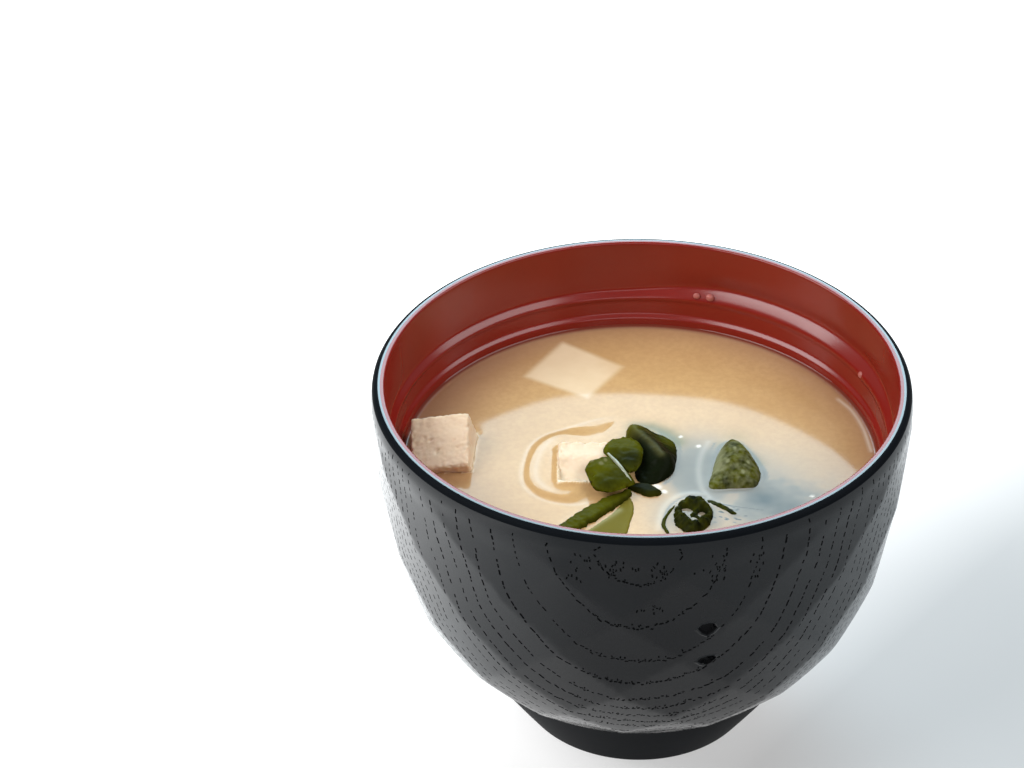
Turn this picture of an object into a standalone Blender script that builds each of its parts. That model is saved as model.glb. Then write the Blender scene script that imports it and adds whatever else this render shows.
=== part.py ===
"""Miso soup in a black and red lacquered bowl, with tofu dice and wakame.

Origin: centre of the foot's underside, +Z up. Sizes below are in millimetres
and are turned into metres where a mesh is made. The front of the bowl is -Y.
"""

import math

import bmesh
import bpy
from mathutils import Matrix, Vector

MM = 0.001
GAP = 0.3

# Bowl: lip, shoulder and body
BOWL_HEIGHT = 80.5
BODY_RADIUS = 54.9
BODY_TOP = 77.0
LIP_INNER_RADIUS = 52.0
LIP_CREST_RADIUS = 53.4
LIP_ROUND = 0.5
SHOULDER_RADIUS = 54.6
SHOULDER_TOP = 79.5
BEVEL_SWELL = Vector((0.12, 0.2))
FOOT_NECK_RADIUS = 35.6
FOOT_NECK_HEIGHT = 16.4
BODY_CURVE = (
    (FOOT_NECK_RADIUS, FOOT_NECK_HEIGHT),
    (47.0, 26.6),
    (53.0, 38.6),
    (BODY_RADIUS, BODY_TOP),
)

# Bowl: inside
WALL_TOP = 3.7
WALL_BOTTOM = 4.2
LEDGE_HEIGHT = 67.2
LEDGE_STEP = 0.9
LEDGE_NOSE = 0.3
MOUTH_TAPER = 0.4
INNER_FLOOR_HEIGHT = 8.9
INNER_FLOOR_FLAT_RADIUS = 14.0
WALL_RINGS = 9

# Bowl: turned foot with its recess
FOOT_BASE_RADIUS = 25.4
FOOT_ROUND = 0.4
FOOT_SWELL = 0.3
RECESS_RADIUS = 21.6
RECESS_DEPTH = 5.4
RECESS_DRAFT = 0.6
RECESS_CORNER = 0.8

# Hand-carved facets on the outside
FACETS_AROUND = 14
FACET_ROWS = 6
SEGMENTS_PER_FACET = 4
FACET_RELIEF = 0.26
FACET_INSET = 0.12
FACET_SOFTNESS = 0.09
FACET_FADE = 5.0
FACET_TURN = math.radians(-84.0)
PROFILE_BEND_RADIUS = 40.0
RINGS_PER_FACET = 3
SEGMENTS = FACETS_AROUND * SEGMENTS_PER_FACET
BODY_RINGS = FACET_ROWS * RINGS_PER_FACET

# Soup
SOUP_LEVEL = 60.7
MENISCUS_RISE = 0.8
MENISCUS_WIDTH = 2.2
SOUP_WALL_DEPTH = 1.5

# Tofu dice: size, centre, turn about the vertical, lean to the left, tip to the front (degrees)
TOFU_EDGE_ROUND = 0.7
TOFU = {
    "tofu_left": dict(size=12.4, centre=(-40.1, 2.3, 60.3), turn=-5.1, lean=9.9, tip=27.4),
    "tofu_back": dict(size=13.0, centre=(-14.6, 34.4, 54.7), turn=-41.4, lean=-3.0, tip=0.0),
    "tofu_middle": dict(size=12.4, centre=(-10.9, -4.4, 57.4), turn=-2.2, lean=0.0, tip=1.5),
}

# Wakame: leaves that float on the soup
LEAF_DIP = 0.9
LEAF_RINGS = 8
LEAF_COLUMNS = 4
LEAF_EDGE = 0.35
LEAF_FLATNESS = 2.0
LEAF_LEAST_THICKNESS = 0.3
LEAF_END_ROUNDING = 0.12
LEAF_END_WIDTH = 0.12
SHEET_THICKNESS = 1.0

# Each leaf: rib along the soup (x, y), widths left and right of it, height of its ridge
WAKAME = {
    "wakame_fold": dict(
        rib=((-1.6, 9.4), (2.0, 4.6), (4.2, -2.4), (3.6, -8.6)),
        left=(2.2, 2.6, 4.2, 4.0),
        right=(2.2, 3.4, 3.6, 2.8),
        ridge=(2.6, 4.4, 4.2, 1.8),
        thickness=6.0,
        flatness=1.6,
    ),
    "wakame_upper_lobe": dict(
        rib=((-1.9, -8.4), (-2.6, -3.6), (-3.8, 2.2)),
        left=(1.2, 3.8, 3.2),
        right=(0.6, 2.2, 3.4),
        ridge=(3.2, 4.5, 4.3),
        edge=3.8,
        thickness=0.7,
    ),
    "wakame_lower_lobe": dict(
        rib=((-7.6, -4.2), (-5.2, -9.4), (-2.4, -13.2)),
        left=(0.8, 0.8, 0.6),
        right=(4.2, 5.2, 3.8, 4.8, 3.2),
        ridge=(4.9, 4.7, 2.6),
        edge=3.6,
        thickness=0.7,
    ),
    "wakame_strip": dict(
        rib=((-2.6, -14.6), (-8.2, -18.6), (-16.0, -24.6)),
        left=(1.2, 2.0, 2.0),
        right=(1.2, 1.8, 2.0),
        ridge=(1.6, 1.6, 1.4),
        thickness=4.0,
    ),
    "wakame_tip": dict(
        rib=((-1.6, -13.4), (1.0, -14.8), (3.8, -14.0)),
        left=(0.6, 1.2, 0.6),
        right=(0.8, 1.4, 0.6),
        ridge=(1.0, 1.3, 0.8),
        thickness=4.0,
    ),
    "wakame_mound": dict(
        rib=((19.9, 4.2), (19.6, -2.0), (18.8, -12.2)),
        left=(1.6, 4.6, 4.6),
        right=(1.0, 3.4, 6.0),
        ridge=(1.6, 4.6, 2.2),
        thickness=6.0,
        flatness=1.7,
    ),
    "wakame_curl": dict(
        rib=((8.4, -26.0), (6.4, -21.4), (9.4, -17.0), (12.8, -19.4), (11.8, -24.4)),
        left=(1.0, 1.4, 1.5, 1.6, 1.4),
        right=(0.8, 1.2, 1.4, 1.6, 1.4),
        ridge=(1.4, 1.8, 2.0, 2.4, 1.8),
        thickness=4.0,
    ),
}

BLACK_LACQUER = (0.012, 0.014, 0.016)
SOUP_TAN = (0.55, 0.33, 0.16)
TOFU_CREAM = (0.80, 0.66, 0.47)
WAKAME_GREEN = (0.035, 0.050, 0.008)


def bezier(points, t):
    """Point on a Bezier curve through the first and last of its control points."""
    points = [Vector(p) for p in points]
    while len(points) > 1:
        points = [a.lerp(b, t) for a, b in zip(points, points[1:])]
    return points[0]


def arc(centre, radius, start, stop, steps):
    """Points of an arc, angles in degrees, both ends included."""
    angles = (math.radians(start + (stop - start) * i / steps) for i in range(steps + 1))
    return [(centre[0] + radius * math.cos(a), centre[1] + radius * math.sin(a)) for a in angles]


def smooth_step(x):
    x = min(max(x, 0.0), 1.0)
    return x * x * (3.0 - 2.0 * x)


def body_normal(t):
    """Outward normal of the body's outline, in (radius, height)."""
    step = 0.001
    along = bezier(BODY_CURVE, t + step) - bezier(BODY_CURVE, t - step)
    return Vector((along.y, -along.x)).normalized()


def body_lengths(samples=120):
    """Length along the body's outline from the foot, at evenly spaced t."""
    points = [bezier(BODY_CURVE, i / samples) for i in range(samples + 1)]
    lengths = [0.0]
    for a, b in zip(points, points[1:]):
        lengths.append(lengths[-1] + (b - a).length)
    return lengths


BODY_LENGTHS = body_lengths()


def length_at(t):
    place = t * (len(BODY_LENGTHS) - 1)
    i = min(int(place), len(BODY_LENGTHS) - 2)
    return BODY_LENGTHS[i] + (BODY_LENGTHS[i + 1] - BODY_LENGTHS[i]) * (place - i)


def t_at_length(length):
    low, high = 0.0, 1.0
    for _ in range(40):
        middle = (low + high) / 2
        if length_at(middle) < length:
            low = middle
        else:
            high = middle
    return (low + high) / 2


def facet_offset(angle, length, radius):
    """How far the carved surface stands off the smooth body, along its normal."""
    total = BODY_LENGTHS[-1]
    pitch = total / FACET_ROWS
    near_row = int(length / pitch)
    heights = []
    for row in range(near_row - 1, near_row + 2):
        middle = (row + 0.5) * pitch
        stagger = 0.5 * (row % 2)
        cell = (angle - FACET_TURN) / math.tau * FACETS_AROUND - stagger
        for column in (math.floor(cell), math.floor(cell) + 1):
            across = (cell - column) / FACETS_AROUND * math.tau * radius
            up = length - middle
            heights.append(across ** 2 / (2 * radius) + up ** 2 / (2 * PROFILE_BEND_RADIUS))
    softened = sum(math.exp(-h / FACET_SOFTNESS) for h in heights)
    height = -FACET_SOFTNESS * math.log(softened)
    fade = smooth_step(length / FACET_FADE) * smooth_step((total - length) / FACET_FADE)
    return fade * (FACET_RELIEF * height - FACET_INSET)


def wall_point(t, depth):
    """Point inside the body's outline, a depth below its surface."""
    point = bezier(BODY_CURVE, t) - body_normal(t) * depth
    return (point.x, point.y)


def wall_thickness(t):
    return WALL_BOTTOM + (WALL_TOP - WALL_BOTTOM) * t


def ledge_t():
    """Place on the body's outline whose inner wall reaches the ledge."""
    low, high = 0.5, 1.0
    for _ in range(40):
        middle = (low + high) / 2
        if wall_point(middle, wall_thickness(middle))[1] < LEDGE_HEIGHT - LEDGE_NOSE:
            low = middle
        else:
            high = middle
    return low


def inner_outline(gap):
    """Inner wall and floor from the ledge down to the middle, moved in by a gap."""
    top = ledge_t()
    ts = [top * (1.0 - i / WALL_RINGS) for i in range(WALL_RINGS + 1)]
    wall = [wall_point(t, wall_thickness(t) + gap) for t in ts]
    floor_height = INNER_FLOOR_HEIGHT + gap
    end = Vector(wall[-1])
    slope = Vector(wall[-2]) - end
    corner_radius = end.x - (end.y - floor_height) * slope.x / slope.y
    floor_curve = (end, (corner_radius, floor_height), (INNER_FLOOR_FLAT_RADIUS, floor_height))
    floor = [tuple(bezier(floor_curve, i / 3)) for i in range(1, 4)]
    return wall + floor + [(0.0, floor_height)]


def mouth_outline():
    """Lip and upper inner wall, from the lip's crown down to the ledge."""
    edge = (LIP_INNER_RADIUS + LIP_ROUND, BOWL_HEIGHT - LIP_ROUND)
    lip = arc(edge, LIP_ROUND, 90, 180, 3)
    ledge_radius = inner_outline(0.0)[0][0]
    wall_foot = ledge_radius + LEDGE_STEP
    fillet = arc((ledge_radius, LEDGE_HEIGHT + LEDGE_STEP), LEDGE_STEP, 0, -75, 3)
    waist = (wall_foot + MOUTH_TAPER * 0.5, (LEDGE_HEIGHT + BOWL_HEIGHT) / 2)
    return lip + [waist] + fillet


def shoulder_outline():
    """Smooth band over the carving and the bevel above it, up to the lip's crest."""
    shoulder = (SHOULDER_RADIUS, SHOULDER_TOP)
    swell = (BODY_RADIUS, (BODY_TOP + SHOULDER_TOP) / 2)
    curve = ((BODY_RADIUS, BODY_TOP), swell, shoulder)
    crest = (LIP_CREST_RADIUS, BOWL_HEIGHT)
    bevel = (Vector(shoulder) + Vector(crest)) / 2
    return [tuple(bezier(curve, i / 2)) for i in (1, 2)] + [tuple(bevel + BEVEL_SWELL), crest]


def foot_outline():
    """Foot ring from the neck down, round its base and up into the recess."""
    neck = (FOOT_NECK_RADIUS, FOOT_NECK_HEIGHT)
    base = arc((FOOT_BASE_RADIUS - FOOT_ROUND, FOOT_ROUND), FOOT_ROUND, -30, -90, 2)
    middle = (Vector(neck) + Vector(base[0])) / 2
    side = (neck, middle + Vector((FOOT_SWELL, 0.0)), base[0])
    outside = [tuple(bezier(side, i / 4)) for i in range(1, 4)]
    recess = [
        (RECESS_RADIUS + FOOT_ROUND, 0.0),
        (RECESS_RADIUS, FOOT_ROUND),
        (RECESS_RADIUS - RECESS_DRAFT, RECESS_DEPTH - RECESS_CORNER),
        (RECESS_RADIUS - RECESS_DRAFT - RECESS_CORNER, RECESS_DEPTH),
        (0.0, RECESS_DEPTH),
    ]
    return outside + base + recess


def turned_angles():
    """Angles of a ring's points, so that a facet's middle falls on one."""
    return [FACET_TURN + math.tau * i / SEGMENTS for i in range(SEGMENTS)]


def add_ring(mesh, radius, height):
    if radius == 0.0:
        return [mesh.verts.new((0.0, 0.0, height * MM))]
    ring = []
    for angle in turned_angles():
        place = (radius * MM * math.cos(angle), radius * MM * math.sin(angle), height * MM)
        ring.append(mesh.verts.new(place))
    return ring


def add_carved_ring(mesh, t):
    """Ring of the outside at t, pushed in and out by the facets."""
    point = bezier(BODY_CURVE, t)
    normal = body_normal(t)
    length = length_at(t)
    ring = []
    for angle in turned_angles():
        offset = facet_offset(angle, length, point.x)
        radius = (point.x + normal.x * offset) * MM
        height = (point.y + normal.y * offset) * MM
        ring.append(mesh.verts.new((radius * math.cos(angle), radius * math.sin(angle), height)))
    return ring


def join_rings(mesh, rings):
    """Skin a closed turned shape over its rings, listed from the inside's top pole outwards."""
    for a, b in zip(rings, rings[1:]):
        count = max(len(a), len(b))
        for i in range(count):
            j = (i + 1) % count
            corners = [a[i % len(a)], a[j % len(a)], b[j % len(b)], b[i % len(b)]]
            unique = [v for k, v in enumerate(corners) if v not in corners[:k]]
            mesh.faces.new(unique)


def material(name, colour, roughness):
    made = bpy.data.materials.new(name)
    made.use_nodes = True
    shader = made.node_tree.nodes["Principled BSDF"]
    shader.inputs["Base Color"].default_value = (*colour, 1.0)
    shader.inputs["Roughness"].default_value = roughness
    shader.inputs["Metallic"].default_value = 0.0
    return made


def add_object(name, mesh, finish, sharp_angle=40.0):
    """Turn a bmesh into an object whose faces point out; a sharp angle of 0 shades it flat."""
    bmesh.ops.recalc_face_normals(mesh, faces=mesh.faces)
    data = bpy.data.meshes.new(name)
    mesh.to_mesh(data)
    mesh.free()
    if sharp_angle > 0.0:
        data.shade_smooth()
        data.set_sharp_from_angle(angle=math.radians(sharp_angle))
    data.materials.append(finish)
    made = bpy.data.objects.new(name, data)
    bpy.context.scene.collection.objects.link(made)
    return made


def make_bowl():
    mesh = bmesh.new()
    inside = list(reversed(inner_outline(0.0))) + list(reversed(mouth_outline()))
    rings = [add_ring(mesh, radius, height) for radius, height in inside]
    rings += [add_ring(mesh, r, h) for r, h in reversed(shoulder_outline())]
    total = BODY_LENGTHS[-1]
    for i in range(BODY_RINGS + 1):
        rings.append(add_carved_ring(mesh, t_at_length(total * (1.0 - i / BODY_RINGS))))
    rings += [add_ring(mesh, radius, height) for radius, height in foot_outline()]
    join_rings(mesh, rings)
    return add_object("bowl", mesh, material("black_lacquer", BLACK_LACQUER, 0.15))


def soup_outline():
    """Soup from its underside's middle, up the wall and over the meniscus to the middle."""
    below = [p for p in inner_outline(GAP) if p[1] < SOUP_LEVEL - SOUP_WALL_DEPTH]
    top = ledge_t()
    while wall_point(top, wall_thickness(top) + GAP)[1] > SOUP_LEVEL + MENISCUS_RISE:
        top -= 0.001
    edge_radius = wall_point(top, wall_thickness(top) + GAP)[0]
    meniscus = [
        (edge_radius, SOUP_LEVEL + MENISCUS_RISE),
        (edge_radius - MENISCUS_WIDTH * 0.3, SOUP_LEVEL + MENISCUS_RISE * 0.3),
        (edge_radius - MENISCUS_WIDTH, SOUP_LEVEL),
        (0.0, SOUP_LEVEL),
    ]
    return list(reversed(below)) + meniscus


def make_soup():
    mesh = bmesh.new()
    join_rings(mesh, [add_ring(mesh, radius, height) for radius, height in soup_outline()])
    return add_object("soup", mesh, material("miso_broth", SOUP_TAN, 0.1), sharp_angle=0.0)


def cube_place(centre, turn, lean, tip):
    """Place of a die: tipped to the front, leant to the left and turned, in that order."""
    right_down = Matrix.Rotation(math.radians(-lean), 4, "Y")
    forward = Matrix.Rotation(math.radians(tip), 4, "X")
    turned = Matrix.Rotation(math.radians(turn), 4, "Z")
    return Matrix.Translation(Vector(centre) * MM) @ turned @ right_down @ forward


def add_die(name, place, size, finish, sharp_angle):
    mesh = bmesh.new()
    bmesh.ops.create_cube(mesh, size=size * MM)
    bmesh.ops.bevel(
        mesh,
        geom=mesh.edges[:],
        offset=TOFU_EDGE_ROUND * MM,
        segments=2,
        profile=0.5,
        affect="EDGES",
        clamp_overlap=True,
    )
    die = add_object(name, mesh, finish, sharp_angle)
    die.matrix_world = place
    return die


def hide_as_cutter(cutter):
    cutter.hide_render = True
    cutter.display_type = "WIRE"


def cut_from(body, cutter):
    cut = body.modifiers.new("cut_" + cutter.name, "BOOLEAN")
    cut.operation = "DIFFERENCE"
    cut.solver = "EXACT"
    cut.object = cutter
    hide_as_cutter(cutter)


def make_tofu(soup):
    finish = material("silken_tofu", TOFU_CREAM, 0.5)
    for name, die in TOFU.items():
        place = cube_place(die["centre"], die["turn"], die["lean"], die["tip"])
        add_die(name, place, die["size"], finish, 60.0)
        pocket = add_die(name + "_pocket", place, die["size"] + 2 * GAP, finish, 0.0)
        cut_from(soup, pocket)


def spline_point(points, t):
    """Point and direction on a smooth curve through the points, t from 0 to 1."""
    points = [Vector(p) for p in points]
    place = t * (len(points) - 1)
    i = min(int(place), len(points) - 2)
    u = place - i
    before = points[i - 1] if i > 0 else points[i] * 2 - points[i + 1]
    after = points[i + 2] if i + 2 < len(points) else points[i + 1] * 2 - points[i]
    a, b = points[i], points[i + 1]
    start, stop = (b - before) / 2, (after - a) / 2
    point = (
        a * (2 * u ** 3 - 3 * u ** 2 + 1)
        + start * (u ** 3 - 2 * u ** 2 + u)
        + b * (-2 * u ** 3 + 3 * u ** 2)
        + stop * (u ** 3 - u ** 2)
    )
    along = (
        a * (6 * u ** 2 - 6 * u)
        + start * (3 * u ** 2 - 4 * u + 1)
        + b * (-6 * u ** 2 + 6 * u)
        + stop * (3 * u ** 2 - 2 * u)
    )
    return point, along.normalized()


def spline_value(values, t):
    """Number on a smooth curve through the values, t from 0 to 1."""
    return spline_point([(value, 0.0) for value in values], t)[0].x


def round_end(t):
    """Width factor that closes a leaf off round at both ends."""
    near = min(t, 1.0 - t) / LEAF_END_ROUNDING
    return math.sqrt(1.0 - (1.0 - min(near, 1.0)) ** 2)


def leaf_widths(leaf, t):
    """Widths left and right of a leaf's rib, with the lobes of its edge."""
    closing = max(round_end(t), LEAF_END_WIDTH)
    return [spline_value(leaf[side], t) * closing for side in ("left", "right")]


def leaf_height(leaf, t, across):
    """Height of a leaf's top over the soup; across is -1 at its left edge, 1 at its right."""
    ridge = spline_value(leaf["ridge"], t)
    edge = leaf.get("edge", LEAF_EDGE)
    crown = 1.0 - abs(across) ** leaf.get("flatness", LEAF_FLATNESS)
    return edge + (ridge - edge) * crown


def leaf_underside(leaf, top):
    """Height of a leaf's underside: a sheet above the soup, or dipped into it."""
    return min(max(top - leaf["thickness"], -LEAF_DIP), top - LEAF_LEAST_THICKNESS)


def add_leaf(name, leaf, finish, sharp_angle, grow=0.0):
    """Closed leaf along its rib; grow swells it to cut its hollow in the soup."""
    mesh = bmesh.new()
    upper, lower = [], []
    for i in range(LEAF_RINGS + 1):
        t = i / LEAF_RINGS
        point, along = spline_point(leaf["rib"], t)
        point = point - along * grow * math.cos(math.pi * t)
        side = Vector((along.y, -along.x))
        left, right = leaf_widths(leaf, t)
        top_row, low_row = [], []
        for j in range(LEAF_COLUMNS + 1):
            across = 2.0 * j / LEAF_COLUMNS - 1.0
            reach = (right if across > 0 else left) + grow
            place = point + side * across * reach
            top = leaf_height(leaf, t, across)
            low = leaf_underside(leaf, top)
            x, y = place * MM
            top_row.append(mesh.verts.new((x, y, (SOUP_LEVEL + top + grow) * MM)))
            low_row.append(mesh.verts.new((x, y, (SOUP_LEVEL + low - grow) * MM)))
        upper.append(top_row)
        lower.append(low_row)
    skin_sheet(mesh, upper, lower)
    return add_object(name, mesh, finish, sharp_angle)


def skin_sheet(mesh, upper, lower):
    """Close the space between two equal grids of points."""
    rows, columns = len(upper), len(upper[0])
    for i in range(rows - 1):
        for j in range(columns - 1):
            mesh.faces.new((upper[i][j], upper[i][j + 1], upper[i + 1][j + 1], upper[i + 1][j]))
            mesh.faces.new((lower[i][j], lower[i + 1][j], lower[i + 1][j + 1], lower[i][j + 1]))
    border = [(0, j) for j in range(columns)]
    border += [(i, columns - 1) for i in range(1, rows)]
    border += [(rows - 1, j) for j in range(columns - 2, -1, -1)]
    border += [(i, 0) for i in range(rows - 2, 0, -1)]
    for (i, j), (k, m) in zip(border, border[1:] + border[:1]):
        mesh.faces.new((upper[i][j], lower[i][j], lower[k][m], upper[k][m]))


def make_wakame(soup):
    finish = material("wet_wakame", WAKAME_GREEN, 0.3)
    for name, leaf in WAKAME.items():
        add_leaf(name, leaf, finish, 60.0)
        if leaf["thickness"] > SHEET_THICKNESS:
            cut_from(soup, add_leaf(name + "_hollow", leaf, finish, 0.0, GAP))


def clear_scene():
    for old in list(bpy.context.scene.objects):
        bpy.data.objects.remove(old, do_unlink=True)


def main():
    clear_scene()
    make_bowl()
    soup = make_soup()
    make_tofu(soup)
    make_wakame(soup)


main()
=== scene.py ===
"""Looks of a bowl of miso soup: carved black lacquer, red inside, broth, tofu dice and wakame."""
import math
import random

import bmesh
import bpy
import numpy as np
from mathutils import Matrix, Vector, kdtree, noise
from mathutils.geometry import delaunay_2d_cdt


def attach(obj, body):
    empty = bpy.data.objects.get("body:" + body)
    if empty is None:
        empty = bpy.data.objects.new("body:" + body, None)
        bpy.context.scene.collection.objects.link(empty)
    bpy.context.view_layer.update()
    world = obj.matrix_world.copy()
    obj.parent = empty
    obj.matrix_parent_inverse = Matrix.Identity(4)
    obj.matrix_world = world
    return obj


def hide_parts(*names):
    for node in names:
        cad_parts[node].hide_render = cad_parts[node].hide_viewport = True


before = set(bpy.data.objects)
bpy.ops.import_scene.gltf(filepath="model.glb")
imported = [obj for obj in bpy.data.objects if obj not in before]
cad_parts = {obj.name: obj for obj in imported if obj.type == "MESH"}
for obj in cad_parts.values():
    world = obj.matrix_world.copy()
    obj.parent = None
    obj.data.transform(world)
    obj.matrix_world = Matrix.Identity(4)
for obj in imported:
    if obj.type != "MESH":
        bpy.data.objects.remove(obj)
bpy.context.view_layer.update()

MM = 0.001
scene = bpy.context.scene

# Bowl, the same outline as the solids (millimetres)
BOWL_HEIGHT = 80.5
FOOT_NECK = (35.6, 16.4)
BODY_EDGE = (54.9, 77.0)
BODY_CURVE = (FOOT_NECK, (47.0, 26.6), (53.0, 38.6), BODY_EDGE)
SHOULDER = (54.6, 79.5)
BEVEL = (54.12, 80.2)
LIP_CREST = (53.4, 80.49)
RED_EDGE = (52.95, 80.5)
LIP_INNER_RADIUS = 52.0
LIP_ROUND = 0.5
LEDGE_HEIGHT = 67.2
LEDGE_STEP = 0.9
LEDGE_SLOPE = 1.35
FILM_TOP = 63.7
FILM_STEP = 0.75
WALL_TOP = 3.7
WALL_BOTTOM = 4.2
INNER_FLOOR = 8.9
LINING_AROUND = 288
FOOT_BASE_RADIUS = 25.4
FOOT_ROUND = 0.4
FOOT_SWELL = 0.3
RECESS_RADIUS = 21.6
RECESS_DEPTH = 5.4
SOUP_LEVEL = 60.7

# Carved facets
FACETS_AROUND = 14
FACET_ROWS = 6
FACET_RELIEF = 0.48
FACET_INSET = 0.22
FACET_SOFTNESS = 0.07
FACET_FADE = 5.0
FACET_TURN = math.radians(-84.0)
PROFILE_BEND_RADIUS = 40.0

# Fineness of the outside: points round, millimetres between points, their least distance to a pore, and
# the plane that it is cut up in
AROUND = 360
SKIN_PITCH = 1.3
PORE_CLEARANCE = 0.45
PLANE_RADIUS = 45.0
# Depth of the hidden surface where the outer and the inner shell meet
CORE_DEPTH = 1.6
# Angles in degrees above which an edge stays sharp
CREASE = 35.0
BEVEL_CREASE = 11.0
LINING_CREASE = 48.0

# Tofu dice: edge rounding and cuts per edge
DIE_ROUND = 0.75
DIE_CUTS = 47

TOFU = {
    "tofu_left": dict(size=12.4, centre=(-40.1, 2.3, 60.3), turn=-5.1, lean=9.9, tip=27.4),
    "tofu_back": dict(size=13.0, centre=(-14.6, 34.4, 54.7), turn=-41.4, lean=-3.0, tip=0.0),
    "tofu_middle": dict(size=12.4, centre=(-10.9, -4.4, 57.4), turn=-2.2, lean=0.0, tip=1.5),
}


# ---- shared helpers
def bezier2(points, t):
    """Points of a Bezier curve at an array of t, as an (n, 2) array."""
    t = np.atleast_1d(np.asarray(t, float))
    rows = [np.tile(np.asarray(p, float), (len(t), 1)) for p in points]
    while len(rows) > 1:
        rows = [a + (b - a) * t[:, None] for a, b in zip(rows, rows[1:])]
    return rows[0]


def arc(centre, radius, start, stop, steps):
    a = np.radians(np.linspace(start, stop, steps + 1))
    return [(centre[0] + radius * math.cos(v), centre[1] + radius * math.sin(v)) for v in a]


def smooth_step(x):
    x = np.clip(x, 0.0, 1.0)
    return x * x * (3.0 - 2.0 * x)


def spline(points, samples, closed=False):
    """Catmull-Rom curve through the points, as an array."""
    p = np.asarray(points, float)
    n = len(p)
    count = n if closed else n - 1
    out = []
    for i in range(count):
        if closed:
            a, b, c, d = p[(i - 1) % n], p[i], p[(i + 1) % n], p[(i + 2) % n]
        else:
            b, c = p[i], p[i + 1]
            a = p[i - 1] if i > 0 else 2 * b - c
            d = p[i + 2] if i + 2 < n else 2 * c - b
        for k in range(samples):
            u = k / samples
            out.append(0.5 * (2 * b + (c - a) * u + (2 * a - 5 * b + 4 * c - d) * u ** 2
                              + (3 * b - a - 3 * c + d) * u ** 3))
    if not closed:
        out.append(p[-1])
    return np.array(out)


def even(points, pitch, closed=False):
    """The same line with its points a pitch apart."""
    p = np.asarray(points, float)
    if closed:
        p = np.vstack([p, p[:1]])
    step = np.linalg.norm(np.diff(p, axis=0), axis=1)
    run = np.concatenate([[0.0], np.cumsum(step)])
    count = max(int(run[-1] / pitch), 4)
    at = np.linspace(0.0, run[-1], count + 1)
    out = np.column_stack([np.interp(at, run, p[:, k]) for k in range(p.shape[1])])
    return out[:-1] if closed else out


def line_distance(points, line, closed=False):
    """Distance of each 2D point to a polyline."""
    p = np.asarray(points, float)
    q = np.asarray(line, float)
    if closed:
        q = np.vstack([q, q[:1]])
    best = np.full(len(p), 1e9)
    for a, b in zip(q[:-1], q[1:]):
        ab = b - a
        t = np.clip(((p - a) @ ab) / max(ab @ ab, 1e-12), 0.0, 1.0)
        best = np.minimum(best, np.linalg.norm(p - a - t[:, None] * ab, axis=1))
    return best


def inside(points, polygon):
    """Whether each 2D point lies inside a closed polygon."""
    p = np.asarray(points, float)
    q = np.asarray(polygon, float)
    hit = np.zeros(len(p), bool)
    x, y = p[:, 0], p[:, 1]
    for a, b in zip(q, np.roll(q, -1, axis=0)):
        crosses = (a[1] > y) != (b[1] > y)
        with np.errstate(divide="ignore", invalid="ignore"):
            at = a[0] + (y - a[1]) / (b[1] - a[1]) * (b[0] - a[0])
        hit ^= crosses & (x < at)
    return hit


def noise_at(points, size, seed=0.0, octaves=3):
    """Fractal noise, roughly -1 to 1, at an (n, 2 or 3) array in millimetres."""
    p = np.asarray(points, float)
    if p.shape[1] == 2:
        p = np.column_stack([p, np.zeros(len(p))])
    return np.array([
        noise.fractal(Vector((x / size + seed, y / size - seed, z / size)), 0.9, 2.0, octaves)
        for x, y, z in p
    ])


def link_mesh(data, mesh, finish, scale=1.0):
    """Smooth object with a material, its data written from a bmesh."""
    mesh.to_mesh(data)
    mesh.free()
    data.transform(Matrix.Scale(scale, 4))
    data.shade_smooth()
    data.materials.append(finish)
    made = bpy.data.objects.new(data.name, data)
    scene.collection.objects.link(made)
    return made


def quads(a, b):
    """Faces between two closed rings of point numbers."""
    return [(p, q, s, r) for p, q, r, s in zip(a, [*a[1:], a[0]], b, [*b[1:], b[0]])]


def new_object(name, verts, faces, finish):
    """Closed mesh object from points in millimetres, its faces turned outwards."""
    data = bpy.data.meshes.new(name)
    data.from_pydata([tuple(v) for v in np.asarray(verts) * MM], [], faces)
    data.validate()
    mesh = bmesh.new()
    mesh.from_mesh(data)
    bmesh.ops.recalc_face_normals(mesh, faces=mesh.faces)
    return link_mesh(data, mesh, finish)


def point_values(obj, name, values):
    layer = obj.data.attributes.new(name, "FLOAT", "POINT")
    layer.data.foreach_set("value", np.asarray(values, np.float32))


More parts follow.
